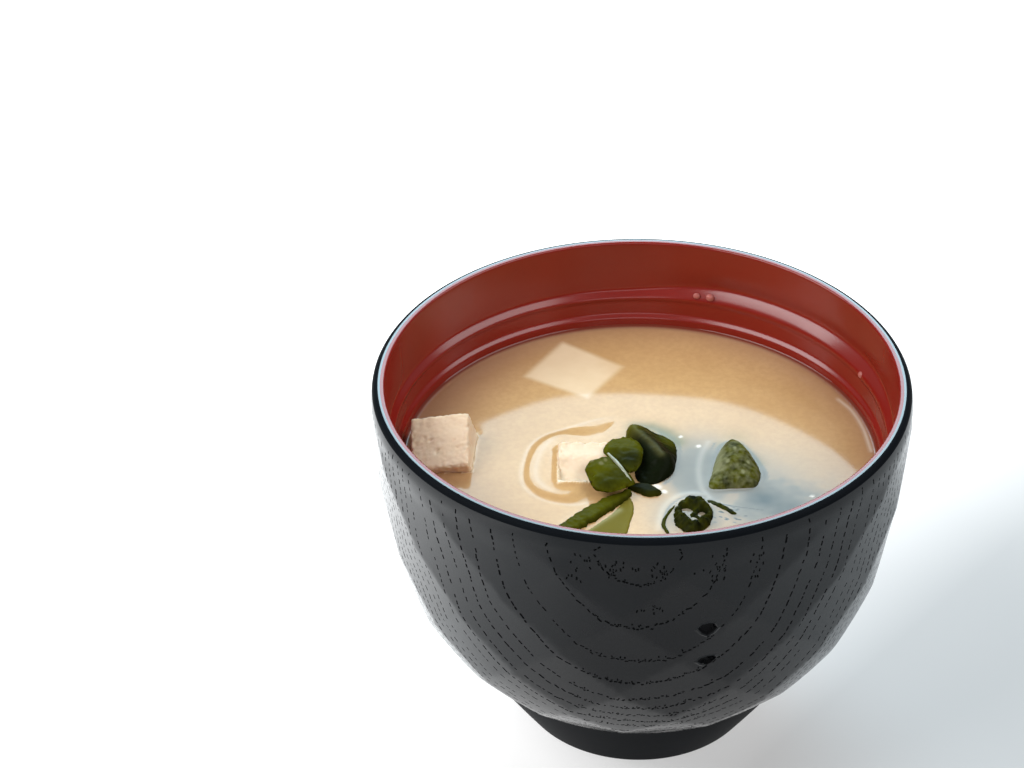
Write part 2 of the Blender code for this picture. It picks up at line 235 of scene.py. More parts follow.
# ---- materials
class Nodes:
    """Small helper that builds a material's nodes."""

    def __init__(self, name):
        self.made = bpy.data.materials.new(name)
        self.made.use_nodes = True
        self.tree = self.made.node_tree
        self.shader = self.tree.nodes["Principled BSDF"]

    def add(self, kind, **settings):
        node = self.tree.nodes.new(kind)
        for key, value in settings.items():
            setattr(node, key, value)
        return node

    def put(self, socket, item):
        """Sets a socket to a number or a colour, or links an output to it."""
        if isinstance(item, (int, float)):
            socket.default_value = item
        elif isinstance(item, tuple):
            socket.default_value = (*item, 1.0)
        else:
            self.tree.links.new(item, socket)

    def value(self, name):
        return self.add("ShaderNodeAttribute", attribute_name=name).outputs["Fac"]

    def place(self, **settings):
        """Object coordinates in metres, put through a mapping where settings are given."""
        where = self.add("ShaderNodeTexCoord").outputs["Object"]
        if settings:
            mapping = self.add("ShaderNodeMapping")
            for key, value in settings.items():
                mapping.inputs[key].default_value = value
            self.put(mapping.inputs["Vector"], where)
            where = mapping.outputs["Vector"]
        return where

    def texture(self, scale, detail=3.0, rough=0.5, **settings):
        node = self.add("ShaderNodeTexNoise")
        for key, value in (("Scale", scale), ("Detail", detail), ("Roughness", rough)):
            node.inputs[key].default_value = value
        self.put(node.inputs["Vector"], self.place(**settings))
        return node.outputs[0]

    def ramp(self, source, stops):
        node = self.add("ShaderNodeValToRGB")
        elements = node.color_ramp.elements
        while len(elements) < len(stops):
            elements.new(0.5)
        for element, (place, colour) in zip(elements, stops):
            element.position = place
            element.color = (*colour, 1.0)
        self.put(node.inputs["Fac"], source)
        return node.outputs["Color"]

    def grey(self, source, stops):
        return self.ramp(source, [(p, (v, v, v)) for p, v in stops])

    def mix(self, factor, a, b):
        node = self.add("ShaderNodeMix", data_type="RGBA")
        for socket, item in ((node.inputs[0], factor), (node.inputs[6], a), (node.inputs[7], b)):
            self.put(socket, item)
        return node.outputs[2]

    def math(self, kind, a, b):
        node = self.add("ShaderNodeMath", operation=kind)
        for socket, item in zip(node.inputs, (a, b)):
            self.put(socket, item)
        return node.outputs[0]

    def bump(self, height, distance, strength):
        node = self.add("ShaderNodeBump")
        node.inputs["Strength"].default_value = strength
        node.inputs["Distance"].default_value = distance
        self.put(node.inputs["Height"], height)
        return node.outputs["Normal"]

    def finish(self, colour, roughness, normal=None, **constants):
        """The material, with what its shader gets."""
        for name, item in (("Base Color", colour), ("Roughness", roughness), ("Normal", normal)):
            if item is not None:
                self.put(self.shader.inputs[name], item)
        for key, item in constants.items():
            self.shader.inputs[key.replace("_", " ")].default_value = item
        return self.made


def black_lacquer():
    n = Nodes("black_lacquer_look")
    pore = n.value("pore")
    cloud = n.texture(90.0, 3.0)
    colour = n.mix(cloud, (0.0060, 0.0072, 0.0088), (0.0105, 0.0118, 0.0135))
    # Pore floors darker: painted shade in the pores.
    colour = n.mix(pore, colour, (0.0020, 0.0020, 0.0025))
    rough = n.grey(n.texture(420.0, 2.0), [(0.3, 0.13), (0.7, 0.20)])
    rough = n.mix(pore, rough, (0.45, 0.45, 0.45))
    skin = n.bump(n.texture(700.0, 2.0), 0.00002, 0.35)
    return n.finish(colour, rough, skin, IOR=1.5, Specular_IOR_Level=0.24)


def shaded_pore_lacquer():
    # A darker, duller copy of the black lacquer for the pore floors: painted shade.
    return Nodes("shaded_pore_look").finish((0.0022, 0.0025, 0.0032), 0.45, IOR=1.5,
                                             Specular_IOR_Level=0.06)


def crest_highlight_lacquer():
    # A lighter, glossier copy of the black lacquer for the crest's ring: a painted highlight.
    return Nodes("crest_highlight_look").finish((0.030, 0.028, 0.026), 0.2, IOR=1.5, Specular_IOR_Level=1.0)


def shaded_lacquer():
    # A darker copy of the black lacquer for the foot and the shoulder's bevel: painted shade.
    n = Nodes("shaded_lacquer_look")
    colour = n.mix(n.texture(90.0, 3.0), (0.0040, 0.0050, 0.0066), (0.0060, 0.0072, 0.0090))
    return n.finish(colour, 0.45, IOR=1.5, Specular_IOR_Level=0.01)


def red_lacquer():
    n = Nodes("red_lacquer_look")
    cloud = n.texture(60.0, 4.0)
    colour = n.mix(cloud, (0.185, 0.0070, 0.0030), (0.245, 0.0100, 0.0044))
    streak = n.texture(40.0, 4.0, 0.6, Scale=(1.0, 1.0, 6.0))
    rough = n.grey(streak, [(0.3, 0.17), (0.7, 0.26)])
    skin = n.bump(n.texture(260.0, 3.0), 0.00006, 0.25)
    return n.finish(colour, rough, skin, IOR=1.5, Specular_IOR_Level=0.5)


def miso_broth():
    n = Nodes("miso_broth_look")
    cloud = n.texture(75.0, 5.0, 0.6)
    broth = n.mix(n.grey(cloud, [(0.3, 0.0), (0.7, 1.0)]), (0.540, 0.335, 0.145), (0.600, 0.385, 0.175))
    grain = n.grey(n.texture(900.0, 2.0), [(0.35, 0.0), (0.65, 1.0)])
    broth = n.mix(n.math("MULTIPLY", grain, 0.35), broth, (0.46, 0.275, 0.12))
    broth = n.mix(n.value("shade"), broth, (0.290, 0.140, 0.090))
    broth = n.mix(n.value("tofu"), broth, (0.800, 0.640, 0.430))
    # Dark leaves deep in the soup, and painted shade round the floating leaves.
    murk_and_shade = n.value("murk_and_shade")
    deep = n.ramp(murk_and_shade, [(0.25, (0.270, 0.230, 0.175)), (0.60, (0.140, 0.130, 0.105)),
                         (1.0, (0.045, 0.050, 0.045))])
    broth = n.mix(n.grey(murk_and_shade, [(0.0, 0.0), (0.42, 1.0)]), broth, deep)
    broth = n.mix(n.value("weed"), broth, (0.120, 0.110, 0.022))
    # Painted highlights and pale bubbles on the soup.
    broth = n.mix(n.value("sheen_and_bubbles"), broth, (0.780, 0.720, 0.620))
    broth = n.mix(n.value("wall"), broth, (0.150, 0.022, 0.011))
    return n.finish(broth, 0.085, IOR=1.34)


def tofu_look():
    n = Nodes("tofu_look")
    cloud = n.texture(140.0, 5.0, 0.6)
    colour = n.mix(cloud, (0.70, 0.525, 0.355), (0.79, 0.635, 0.465))
    # Lighter and yellower towards the soup: soaked in broth, with painted light on the low, shaded sides.
    colour = n.mix(n.value("wet_and_lit"), colour, (0.90, 0.750, 0.560))
    crumb = n.bump(n.texture(900.0, 4.0, 0.65), 0.00018, 0.2)
    return n.finish(colour, 0.5, crumb, IOR=1.36, Specular_IOR_Level=0.3, Subsurface_Weight=0.25,
                    Subsurface_Radius=(0.0020, 0.0014, 0.0009), Subsurface_Scale=1.0)


def wakame_look(name="wakame_look", dark=(0.0055, 0.0080, 0.0030), olive=(0.066, 0.070, 0.0025),
                pale=(0.130, 0.125, 0.045)):
    n = Nodes(name)
    cloud = n.texture(230.0, 4.0, 0.6)
    # How olive a leaf is: thin edges show olive, and on the fold, the lobes and the mound the lit parts are
    # painted olive and the shaded parts painted dark.
    thin_and_lit = n.math("ADD", n.value("thin_and_lit"), n.math("MULTIPLY", n.math("SUBTRACT", cloud, 0.5), 0.6))
    colour = n.ramp(thin_and_lit, [(0.10, dark), (0.55, tuple(0.5 * (a + b) for a, b in zip(dark, olive))),
                           (0.90, olive)])
    # Pale marks: painted highlights, glints and reflections, with mottling on the mound.
    colour = n.mix(n.value("pale"), colour, pale)
    wrinkle = n.bump(n.texture(420.0, 3.0, 0.5), 0.00030, 0.30)
    return n.finish(colour, n.grey(n.texture(500.0, 2.0), [(0.3, 0.26), (0.7, 0.42)]), wrinkle, IOR=1.4,
                    Specular_IOR_Level=0.02)


# ---- bowl outside
SAMPLES = 600
_t = np.linspace(0.0, 1.0, SAMPLES + 1)


def outline_normals(line):
    along = np.gradient(line, axis=0)
    normal = np.column_stack([along[:, 1], -along[:, 0]])
    return normal / np.linalg.norm(normal, axis=1)[:, None]


def run_along(line):
    return np.concatenate([[0.0], np.cumsum(np.linalg.norm(np.diff(line, axis=0), axis=1))])


_body = bezier2(BODY_CURVE, _t)
_normal = outline_normals(_body)
BODY_LENGTH = float(run_along(_body)[-1])
BAND = (BODY_EDGE, (BODY_EDGE[0], 0.5 * (BODY_EDGE[1] + SHOULDER[1])), SHOULDER)
_skin = np.vstack([_body, bezier2(BAND, np.linspace(0.0, 1.0, 61))[1:]])
_skin_normal = outline_normals(_skin)
_length = run_along(_skin)
SKIN_LENGTH = float(_length[-1])


def body_at(length):
    """Radius, height and outward normal of the smooth outside at lengths up from its neck."""
    cols = (_skin[:, 0], _skin[:, 1], _skin_normal[:, 0], _skin_normal[:, 1])
    return [np.interp(length, _length, c) for c in cols]


def facet_offset(angle, length, radius):
    """How far the carved surface stands off the smooth body; deeper than in the solids."""
    pitch = BODY_LENGTH / FACET_ROWS
    near = np.floor(length / pitch)
    heights = []
    for k in (-1, 0, 1):
        row = near + k
        middle = (row + 0.5) * pitch
        cell = (angle - FACET_TURN) / math.tau * FACETS_AROUND - 0.5 * np.mod(row, 2)
        for column in (np.floor(cell), np.floor(cell) + 1):
            across = (cell - column) / FACETS_AROUND * math.tau * radius
            heights.append(across ** 2 / (2 * radius) + (length - middle) ** 2 / (2 * PROFILE_BEND_RADIUS))
    heights = np.array(heights)
    low = heights.min(axis=0)
    height = low - FACET_SOFTNESS * np.log(np.exp(-(heights - low) / FACET_SOFTNESS).sum(axis=0))
    fade = smooth_step(length / FACET_FADE) * smooth_step((BODY_LENGTH - length) / FACET_FADE)
    return fade * (FACET_RELIEF * height - FACET_INSET)


def outside_point(angle, length, depth=0.0):
    """Carved surface at an angle and a length up the body, a depth below its skin."""
    radius, height, nr, nz = body_at(length)
    off = facet_offset(angle, length, radius) - depth
    r = radius + nr * off
    return np.column_stack([r * np.cos(angle), r * np.sin(angle), height + nz * off])


def outside_normal(angle, length):
    step_a, step_l = 0.002, 0.08
    low, high = np.clip(length - step_l, 0, SKIN_LENGTH), np.clip(length + step_l, 0, SKIN_LENGTH)
    a = outside_point(angle + step_a, length) - outside_point(angle - step_a, length)
    b = outside_point(angle, high) - outside_point(angle, low)
    n = np.cross(a, b)
    return n / np.linalg.norm(n, axis=1)[:, None]


# Wood grain: growth rings cut by the turned surface
RING_LEAN = 0.00274
RING_TURN = 0.048
RING_BOW = 0.0010
FRONT_RINGS = (54.41, 52.62, 50.03, 47.56, 44.86, 42.84, 40.72, 38.52, 36.38, 33.3)
RING_PITCH = 2.1
LAST_RING = -58.0
RING_STEP = 0.35
RING_STEPS = 1400
TOP_GAP = 0.05
# Clusters of loose pores on the front: across, up from the body's top, count and spreads
PORE_CLUSTERS = (
    (-7.5, -3.2, 20, 2.0, 2.4), (0.5, -3.6, 16, 1.7, 2.2), (12.6, -4.5, 20, 1.7, 2.6),
    (1.0, -13.5, 11, 2.6, 0.9), (-15.5, -5.5, 9, 0.8, 3.0), (20.0, -3.0, 7, 1.2, 1.5),
    (21.0, -8.0, 5, 0.8, 2.0), (-13.0, -1.5, 5, 1.0, 0.6),
)
# A pore's outline, and knots: across, height, half sizes, and their loops' scales and depths
PORE = ((-1, 0.1), (-0.62, 1), (0.1, 0.85), (0.68, 1), (1, -0.1), (0.6, -1), (-0.1, -0.85), (-0.66, -1))
KNOTS = ((10.8, 57.4, 2.0, 1.75), (11.0, 48.4, 2.1, 1.45))
KNOT_SPREAD = (1.0, 0.92, 0.80, 0.88, 1.0, 0.86, 1.05, 0.84)
KNOT_LOOPS = ((1.34, 0.0), (1.10, -0.13), (0.96, 0.02), (0.74, 0.42), (0.35, 0.46))


def ring_field(angle, length):
    radius, height, _, _ = body_at(length)
    x, y = radius * np.cos(angle), radius * np.sin(angle)
    wobble = 0.35 * np.sin(angle * 5.0 + length * 0.06) + 0.25 * np.sin(angle * 11.0 - length * 0.13)
    wobble = wobble * smooth_step(x * x / 900.0 + np.clip(y, 0.0, 1.0))
    return -y - RING_TURN * x + RING_BOW * x * x - RING_LEAN * (BODY_EDGE[1] - height) ** 2 + wobble


def ring_gradient(angle, length):
    """Gradient of the ring field along the surface, per millimetre round and up."""
    d = 0.05
    radius = body_at(length)[0]
    ga = (ring_field(angle + d / radius, length) - ring_field(angle - d / radius, length)) / (2 * d)
    gl = (ring_field(angle, length + d) - ring_field(angle, length - d)) / (2 * d)
    return float(ga), float(gl)


def follow_ring(value, angle):
    """Line of a ring from the body's top, as (angle, length) rows."""
    length = SKIN_LENGTH - TOP_GAP
    rows = [(angle, length)]
    heading = None
    for _ in range(RING_STEPS):
        ga, gl = ring_gradient(angle, length)
        size = max(math.hypot(ga, gl), 1e-4)
        ta, tl = -gl / size, ga / size
        back = tl > 0 if heading is None else ta * heading[0] + tl * heading[1] < 0
        if back:
            ta, tl = -ta, -tl
        heading = (ta, tl)
        radius = float(body_at(length)[0])
        angle += ta * RING_STEP / radius
        length += tl * RING_STEP
        error = float(ring_field(angle, length)) - value
        pull = max(min(error / size, 0.3), -0.3) / size
        angle -= ga * pull / radius
        length -= gl * pull
        if not 0.6 < length < SKIN_LENGTH - 0.02:
            break
        rows.append((angle, length))
    return np.array(rows)


def ring_lines():
    """Every ring's lines over the body, each crossing of the top followed once."""
    values = list(FRONT_RINGS)
    pick = random.Random(4)
    while values[-1] > LAST_RING:
        values.append(values[-1] - RING_PITCH * pick.uniform(0.8, 1.2))
    angles = np.radians(np.linspace(-90.0, 270.0, 2881))
    field = ring_field(angles, np.full(len(angles), SKIN_LENGTH - TOP_GAP))
    lines = []
    for value in values:
        ends = []
        for i in np.nonzero((field[:-1] - value) * (field[1:] - value) < 0)[0]:
            if any(abs(angles[i] - e) < 0.02 for e in ends):
                continue
            line = follow_ring(value, float(angles[i]))
            if line[-1][1] > SKIN_LENGTH - 1.0:
                ends += [line[-1][0] % math.tau, line[-1][0] % math.tau - math.tau]
            lines.append(line)
    return lines


def make_dashes():
    """Pores along the rings: (angle, length, half length, half width, tilt, depth)."""
    pick = random.Random(11)
    dashes = []
    for line in ring_lines():
        radius = body_at(line[:, 1])[0]
        across = np.diff(line[:, 0]) * 0.5 * (radius[1:] + radius[:-1])
        run = np.concatenate([[0.0], np.cumsum(np.hypot(across, np.diff(line[:, 1])))])
        strength = pick.uniform(0.75, 1.15)
        at = pick.uniform(0.0, 2.0)
        while at < run[-1] - 0.8:
            (a, s), (a2, s2) = ([float(np.interp(u, run, line[:, k])) for k in (0, 1)] for u in (at, at + 0.4))
            r = float(body_at(s)[0])
            tilt = math.atan2(s2 - s, (a2 - a) * r)
            flat = abs(math.cos(tilt)) ** 2
            front = smooth_step((1.0 - abs(((a + math.pi / 2 + math.pi) % math.tau) - math.pi) / 0.55))
            jag = float(flat * front)
            half = pick.uniform(0.32, 0.95) * (1.0 - 0.50 * jag)
            wide = pick.uniform(0.16, 0.23) * strength * (1.0 + 0.30 * jag)
            shift = pick.gauss(0.0, 0.07 + 0.20 * jag)
            turn = pick.gauss(0.0, 0.06 + 0.50 * jag)
            da, ds = -math.sin(tilt) * shift, math.cos(tilt) * shift
            dashes.append((a + da / r, s + ds, half, wide, tilt + turn, pick.uniform(0.16, 0.24)))
            if jag > 0.35 and pick.random() < 0.45:
                dashes.append((a + pick.gauss(0, 0.35) / r, s + abs(pick.gauss(0.50, 0.3)),
                               pick.uniform(0.22, 0.42), pick.uniform(0.14, 0.20),
                               math.pi / 2 + pick.gauss(0, 0.3), 0.16))
            gap = pick.uniform(0.20, 0.65) if pick.random() < 0.90 else pick.uniform(1.0, 2.6)
            at += 2.0 * half * 0.95 + gap * (1.0 - 0.80 * jag)
    for cx, cs, count, spread_a, spread_l in PORE_CLUSTERS:
        for _ in range(count):
            s = BODY_LENGTH + cs + pick.gauss(0, spread_l * 0.6)
            if s > SKIN_LENGTH - 1.0:
                continue
            r = float(body_at(s)[0])
            a = -math.pi / 2 + (cx + pick.gauss(0, spread_a)) / r
            dashes.append((a, s, pick.uniform(0.28, 0.60), pick.uniform(0.15, 0.22),
                           math.pi / 2 + pick.gauss(0, 0.25), 0.17))
    return dashes


def carved_skin():
    """Triangulated outside with its pores cut in: angles, lengths, depths, faces and the border rings."""
    plane, depth, edges = [], [], []

    def put(a, s, d=0.0):
        plane.append(Vector((a * PLANE_RADIUS, s)))
        depth.append(d)
        return len(plane) - 1

    def close(loop):
        edges.extend(zip(loop, loop[1:] + loop[:1]))

    seam = math.radians(90.0) - math.tau
    ring = seam + math.tau * np.arange(AROUND + 1) / AROUND
    top = [put(a, SKIN_LENGTH) for a in ring]
    low = [put(a, 0.0) for a in ring]
    rows = int(SKIN_LENGTH / SKIN_PITCH)
    side_s = [SKIN_LENGTH * i / rows for i in range(1, rows)]
    left = [put(ring[0], s) for s in side_s]
    right = [put(ring[-1], s) for s in side_s]

    centres = []
    for a, s, half, wide, tilt, deep in make_dashes():
        a = (a - seam) % math.tau + seam
        if not ring[0] + 0.05 < a < ring[-1] - 0.05 or not 1.0 < s < SKIN_LENGTH - 0.7:
            continue
        r = float(body_at(s)[0])
        c, n = math.cos(tilt), math.sin(tilt)
        reach = half * abs(n) + 0.3
        if s + reach > SKIN_LENGTH - 0.25 or s - reach < 0.3:
            continue
        loop = []
        for u, v in PORE:
            x, y = u * half, v * wide
            loop.append(put(a + (x * c - y * n) / r, s + x * n + y * c))
        close(loop)
        floor = (-0.5, 0.0, 0.5) if half > 0.6 else (-0.35, 0.35)
        for u in floor:
            put(a + u * half * c / r, s + u * half * n, deep)
        for u in (*floor, -1, 1):
            centres.append((a * PLANE_RADIUS + u * half * c * PLANE_RADIUS / r, s + u * half * n, 0.0))
    for x, z, wide, tall in KNOTS:
        s = float(np.interp(z, _skin[:, 1], _length))
        r = float(body_at(s)[0])
        a = -math.pi / 2 + math.asin(x / r)
        for scale, deep in KNOT_LOOPS:
            loop = []
            for k, spread in enumerate(KNOT_SPREAD):
                turn = math.tau * k / 8
                loop.append(put(a + wide * scale * spread * math.cos(turn) / r,
                                s + tall * scale * spread * math.sin(turn), deep))
            close(loop)
        for u in np.linspace(-1.2, 1.2, 7):
            for v in np.linspace(-1.2, 1.2, 6):
                centres.append((a * PLANE_RADIUS + u * wide * PLANE_RADIUS / r, s + v * tall, 0.0))
    marks = kdtree.KDTree(len(centres))
    for i, c in enumerate(centres):
        marks.insert(c, i)
    marks.balance()
    pick = random.Random(2)
    for i in range(1, rows):
        s = SKIN_LENGTH * i / rows
        r = float(body_at(s)[0])
        count = int(math.tau * r / SKIN_PITCH)
        for k in range(count):
            a = ring[0] + math.tau * (k + 0.25 + 0.5 * (i % 2)) / count
            place = (a * PLANE_RADIUS, s + pick.uniform(-0.1, 0.1), 0.0)
            if ring[-1] - a < 0.006 or marks.find(place)[2] < PORE_CLEARANCE:
                continue
            put(a, place[1])
    verts, _, faces, origin, _, _ = delaunay_2d_cdt(plane, edges, [], 0, 1e-4, True)
    deep = np.array([max((depth[i] for i in o), default=0.0, key=abs) for o in origin])
    place = {i: new for new, old in enumerate(origin) for i in old}
    flat = np.array([(v.x / PLANE_RADIUS, v.y) for v in verts])
    same = {place[r]: place[l] for l, r in zip(left + [top[0], low[0]], right + [top[-1], low[-1]])}
    faces = [tuple(same.get(i, i) for i in f) for f in faces]
    top, low = ([place[i] for i in row[:-1]] for row in (top, low))
    return flat[:, 0], flat[:, 1], deep, faces, top, low, ring[:-1]


def profile_normals(profile, crease):
    """Normals at both ends of each segment of a turned outline, sharp only at creases."""
    p = np.asarray(profile, float)
    d = np.diff(p, axis=0)
    seg = np.column_stack([-d[:, 1], d[:, 0]])
    seg /= np.maximum(np.linalg.norm(seg, axis=1), 1e-9)[:, None]
    ends = [[s.copy(), s.copy()] for s in seg]
    for i in range(len(seg) - 1):
        if seg[i] @ seg[i + 1] > math.cos(math.radians(crease)):
            mean = seg[i] + seg[i + 1]
            mean /= np.linalg.norm(mean)
            ends[i][1] = ends[i + 1][0] = mean
    return ends


def bevel_profile():
    """From the shoulder up to where the red begins."""
    over = tuple(2 * b - 0.5 * (s + c) for b, s, c in zip(BEVEL, SHOULDER, LIP_CREST))
    return [tuple(p) for p in bezier2((SHOULDER, over, LIP_CREST), np.linspace(0, 1, 6))[1:]] + [RED_EDGE]


def foot_profile():
    """From the neck down round the foot and into its recess."""
    base = arc((FOOT_BASE_RADIUS - FOOT_ROUND, FOOT_ROUND), FOOT_ROUND, -30, -90, 4)
    swell = (0.5 * (FOOT_NECK[0] + base[0][0]) + FOOT_SWELL, 0.5 * (FOOT_NECK[1] + base[0][1]))
    side = bezier2((FOOT_NECK, swell, base[0]), np.linspace(0, 1, 12))[1:-1]
    recess = [(RECESS_RADIUS + FOOT_ROUND, 0.0)]
    recess += arc((RECESS_RADIUS + FOOT_ROUND, FOOT_ROUND), FOOT_ROUND, 270, 180, 4)[1:]
    recess += [tuple(p) for p in bezier2(
        ((RECESS_RADIUS, FOOT_ROUND), (RECESS_RADIUS - 0.5, RECESS_DEPTH), (RECESS_RADIUS - 3.0, RECESS_DEPTH)),
        np.linspace(0, 1, 8))[1:]]
    recess += [(RECESS_RADIUS * k, RECESS_DEPTH) for k in (0.6, 0.3, 0.02)]
    return [tuple(p) for p in side] + base + recess


def core_profile(inset):
    """Hidden middle surface of the wall, where the black and red shells meet."""
    at = np.linspace(0.98, 0.0, 14)
    p = bezier2(BODY_CURVE, at)
    n = np.array([np.interp(at, _t, _normal[:, k]) for k in (0, 1)]).T
    rows = [tuple(r) for r in p - n * (CORE_DEPTH + inset)]
    floor = ((31.0, 14.4), (25.0, 9.8), (18.0, 7.7), (0.5, 7.5))
    return [(53.0, 79.2)] + rows + [(r, h + inset) for r, h in floor]


def make_outside():
    angle, length, deep, faces, top, low, ring = carved_skin()
    points = [tuple(p) for p in outside_point(angle, length, deep)]
    skin_normals = outside_normal(angle, length)
    pts = np.array(points)
    tri = np.array(faces)
    face_normals = np.cross(pts[tri[:, 1]] - pts[tri[:, 0]], pts[tri[:, 2]] - pts[tri[:, 0]])
    face_normals /= np.maximum(np.linalg.norm(face_normals, axis=1), 1e-12)[:, None]
    flip = (face_normals * skin_normals[tri[:, 0]]).sum(axis=1) < 0
    tri[flip] = tri[flip][:, ::-1]
    face_normals[flip] *= -1
    all_faces = [tuple(int(i) for i in f) for f in tri]
    cut = (deep[tri] != 0).any(axis=1)
    pore_faces = np.nonzero((deep[tri] > 0.03).any(axis=1))[0]
    loops = []
    for f, n, c in zip(all_faces, face_normals, cut):
        loops += [tuple(n)] * 3 if c else [tuple(skin_normals[i]) for i in f]

    def lathe(profile, start, outward, crease=CREASE):
        """Skin a turned outline on from a border ring."""
        last = start
        rows = [body_edge[id(start)]] + list(profile)
        ends = profile_normals(rows, crease)
        for k, (r, h) in enumerate(profile):
            here = []
            for a in ring:
                here.append(len(points))
                points.append((r * math.cos(a), r * math.sin(a), h))
            n0, n1 = ends[k]
            for i in range(AROUND):
                j = (i + 1) % AROUND
                quad = (last[i], last[j], here[j], here[i])
                normals = [(n0, ring[i]), (n0, ring[j]), (n1, ring[j]), (n1, ring[i])]
                if not outward:
                    quad, normals = quad[::-1], normals[::-1]
                all_faces.append(quad)
                sign = 1.0 if not outward else -1.0
                for n, a in normals:
                    loops.append((sign * n[0] * math.cos(a), sign * n[0] * math.sin(a), sign * n[1]))
            last = here
        return last

    body_edge = {id(top): SHOULDER, id(low): FOOT_NECK}
    bevel_start = len(all_faces)
    lip = lathe(bevel_profile(), top, True, BEVEL_CREASE)
    bevel_end = len(all_faces) - AROUND
    body_edge[id(lip)] = RED_EDGE
    core = lathe(core_profile(0.0), lip, True)
    foot_start = len(all_faces)
    base = lathe(foot_profile(), low, False)
    foot_end = len(all_faces)
    for rim, up in ((core, True), (base, False)):
        centre = len(points)
        points.append((0.0, 0.0, points[rim[0]][2]))
        for i in range(AROUND):
            j = (i + 1) % AROUND
            all_faces.append((rim[i], rim[j], centre) if up else (rim[j], rim[i], centre))
            loops += [(0.0, 0.0, 1.0 if up else -1.0)] * 3
    data = bpy.data.meshes.new("bowl_outside")
    data.from_pydata([tuple(p) for p in np.array(points) * MM], [], all_faces)
    data.shade_smooth()
    data.normals_split_custom_set(loops)
    made = bpy.data.objects.new("bowl_outside", data)
    scene.collection.objects.link(made)
    pore = np.zeros(len(points))
    pore[:len(deep)] = np.clip(deep / 0.1, 0, 1)
    point_values(made, "pore", pore)
    for look in (black_lacquer, shaded_lacquer, shaded_pore_lacquer, crest_highlight_lacquer):
        made.data.materials.append(look())
    # The foot and the bevel get the darker copy as painted shade, the pore floors a darker one as painted
    # shade, and the crest's ring a lighter, glossier copy as a painted highlight.
    for index, part in ((1, range(foot_start, foot_end)), (1, range(bevel_start, bevel_end)),
                        (2, pore_faces), (3, range(bevel_end, bevel_end + AROUND))):
        for k in part:
            made.data.polygons[int(k)].material_index = index
    return made


# ---- bowl inside
def wall_thickness(t):
    return WALL_BOTTOM + (WALL_TOP - WALL_BOTTOM) * t


_inner = _body - _normal * wall_thickness(_t)[:, None]


def inner_radius(height):
    """Inner wall's radius at a height under the ledge."""
    return np.interp(height, _inner[:, 1], _inner[:, 0])


# Edge of the soup on the wall, under the film
SOUP_EDGE = float(inner_radius(SOUP_LEVEL + 1.0))


def inside_profile():
    """From the lip's outer edge over the crown and down the inside to the floor's middle."""
    lip = [RED_EDGE, (0.5 * (RED_EDGE[0] + LIP_INNER_RADIUS + LIP_ROUND), BOWL_HEIGHT)]
    lip += arc((LIP_INNER_RADIUS + LIP_ROUND, BOWL_HEIGHT - LIP_ROUND), LIP_ROUND, 90, 180, 8)
    ledge_r = float(inner_radius(LEDGE_HEIGHT - 0.3))
    foot = ledge_r + LEDGE_STEP + 0.2
    high = LEDGE_HEIGHT + LEDGE_SLOPE
    waist = (foot + 0.2, (LEDGE_HEIGHT + BOWL_HEIGHT) / 2)
    upper = [tuple(p) for p in spline([lip[-1], waist, (foot, high + 0.3)], 8)[1:]]
    ledge = [tuple(p) for p in spline(
        [(foot, high + 0.3), (foot - 0.16, high - 0.05), (foot - 0.65, high - 0.6),
         (ledge_r - 0.08, LEDGE_HEIGHT + 0.12), (ledge_r - 0.12, LEDGE_HEIGHT - 0.35),
         (ledge_r - 0.02, LEDGE_HEIGHT - 0.9)], 5)[1:]]
    heights = np.concatenate([np.linspace(LEDGE_HEIGHT - 1.5, FILM_TOP + 0.6, 5),
                              np.linspace(FILM_TOP + 0.2, FILM_TOP - 1.6, 10),
                              np.linspace(FILM_TOP - 2.2, float(_inner[0, 1]) + 0.3, 24)])
    film = FILM_STEP * smooth_step((FILM_TOP - heights) / 1.2)
    wall = [(float(inner_radius(h) - f), float(h)) for h, f in zip(heights, film)]
    floor = [(30.0, 17.0), (26.0, 13.6), (22.0, 10.6), (18.0, 9.3), (14.0, INNER_FLOOR), (0.5, INNER_FLOOR)]
    return lip + upper + ledge + wall + floor


def make_inside():
    front = inside_profile()
    back = core_profile(-0.25)[::-1]
    verts, faces, rows = [], [], []
    turned = math.tau * np.arange(LINING_AROUND) / LINING_AROUND
    # The ledge sits a little higher on the right
    right = smooth_step((np.sin(turned) + 0.15) / 0.6) * smooth_step((np.cos(turned) + 0.05) / 0.5)
    for k, (r, h) in enumerate(front + back):
        rows.append([len(verts) + i for i in range(LINING_AROUND)])
        grow = right * (1.0 if k < len(front) and h > FILM_TOP + 1.0 else 0.0)
        over = max(h - LEDGE_HEIGHT - 1.6, 0.0)
        corner = smooth_step((h - LEDGE_HEIGHT + 0.4) / 2.0) * math.exp(-(over / 3.6) ** 2)
        corner = max(float(corner) - 0.001, 0.0)
        lift = grow * (0.5 * math.exp(-((h - LEDGE_HEIGHT - 0.6) / 2.0) ** 2) + 1.2 * corner) * (h < 79.0)
        wide = grow * 0.75 * corner
        verts += [((r + out) * math.cos(a), (r + out) * math.sin(a), h + up)
                  for a, up, out in zip(turned, lift, wide)]
    for a, b in zip(rows, rows[1:] + rows[:1]):
        faces += quads(a, b)
    made = new_object("bowl_inside", verts, faces, red_lacquer())
    made.data.set_sharp_from_angle(angle=math.radians(LINING_CREASE))
    return made


# ---- tofu places
def die_matrix(die):
    """A die's place: tipped to the front, leant to the left and turned (millimetres)."""
    lean = Matrix.Rotation(math.radians(-die["lean"]), 4, "Y")
    tip = Matrix.Rotation(math.radians(die["tip"]), 4, "X")
    turn = Matrix.Rotation(math.radians(die["turn"]), 4, "Z")
    return Matrix.Translation(Vector(die["centre"])) @ turn @ lean @ tip


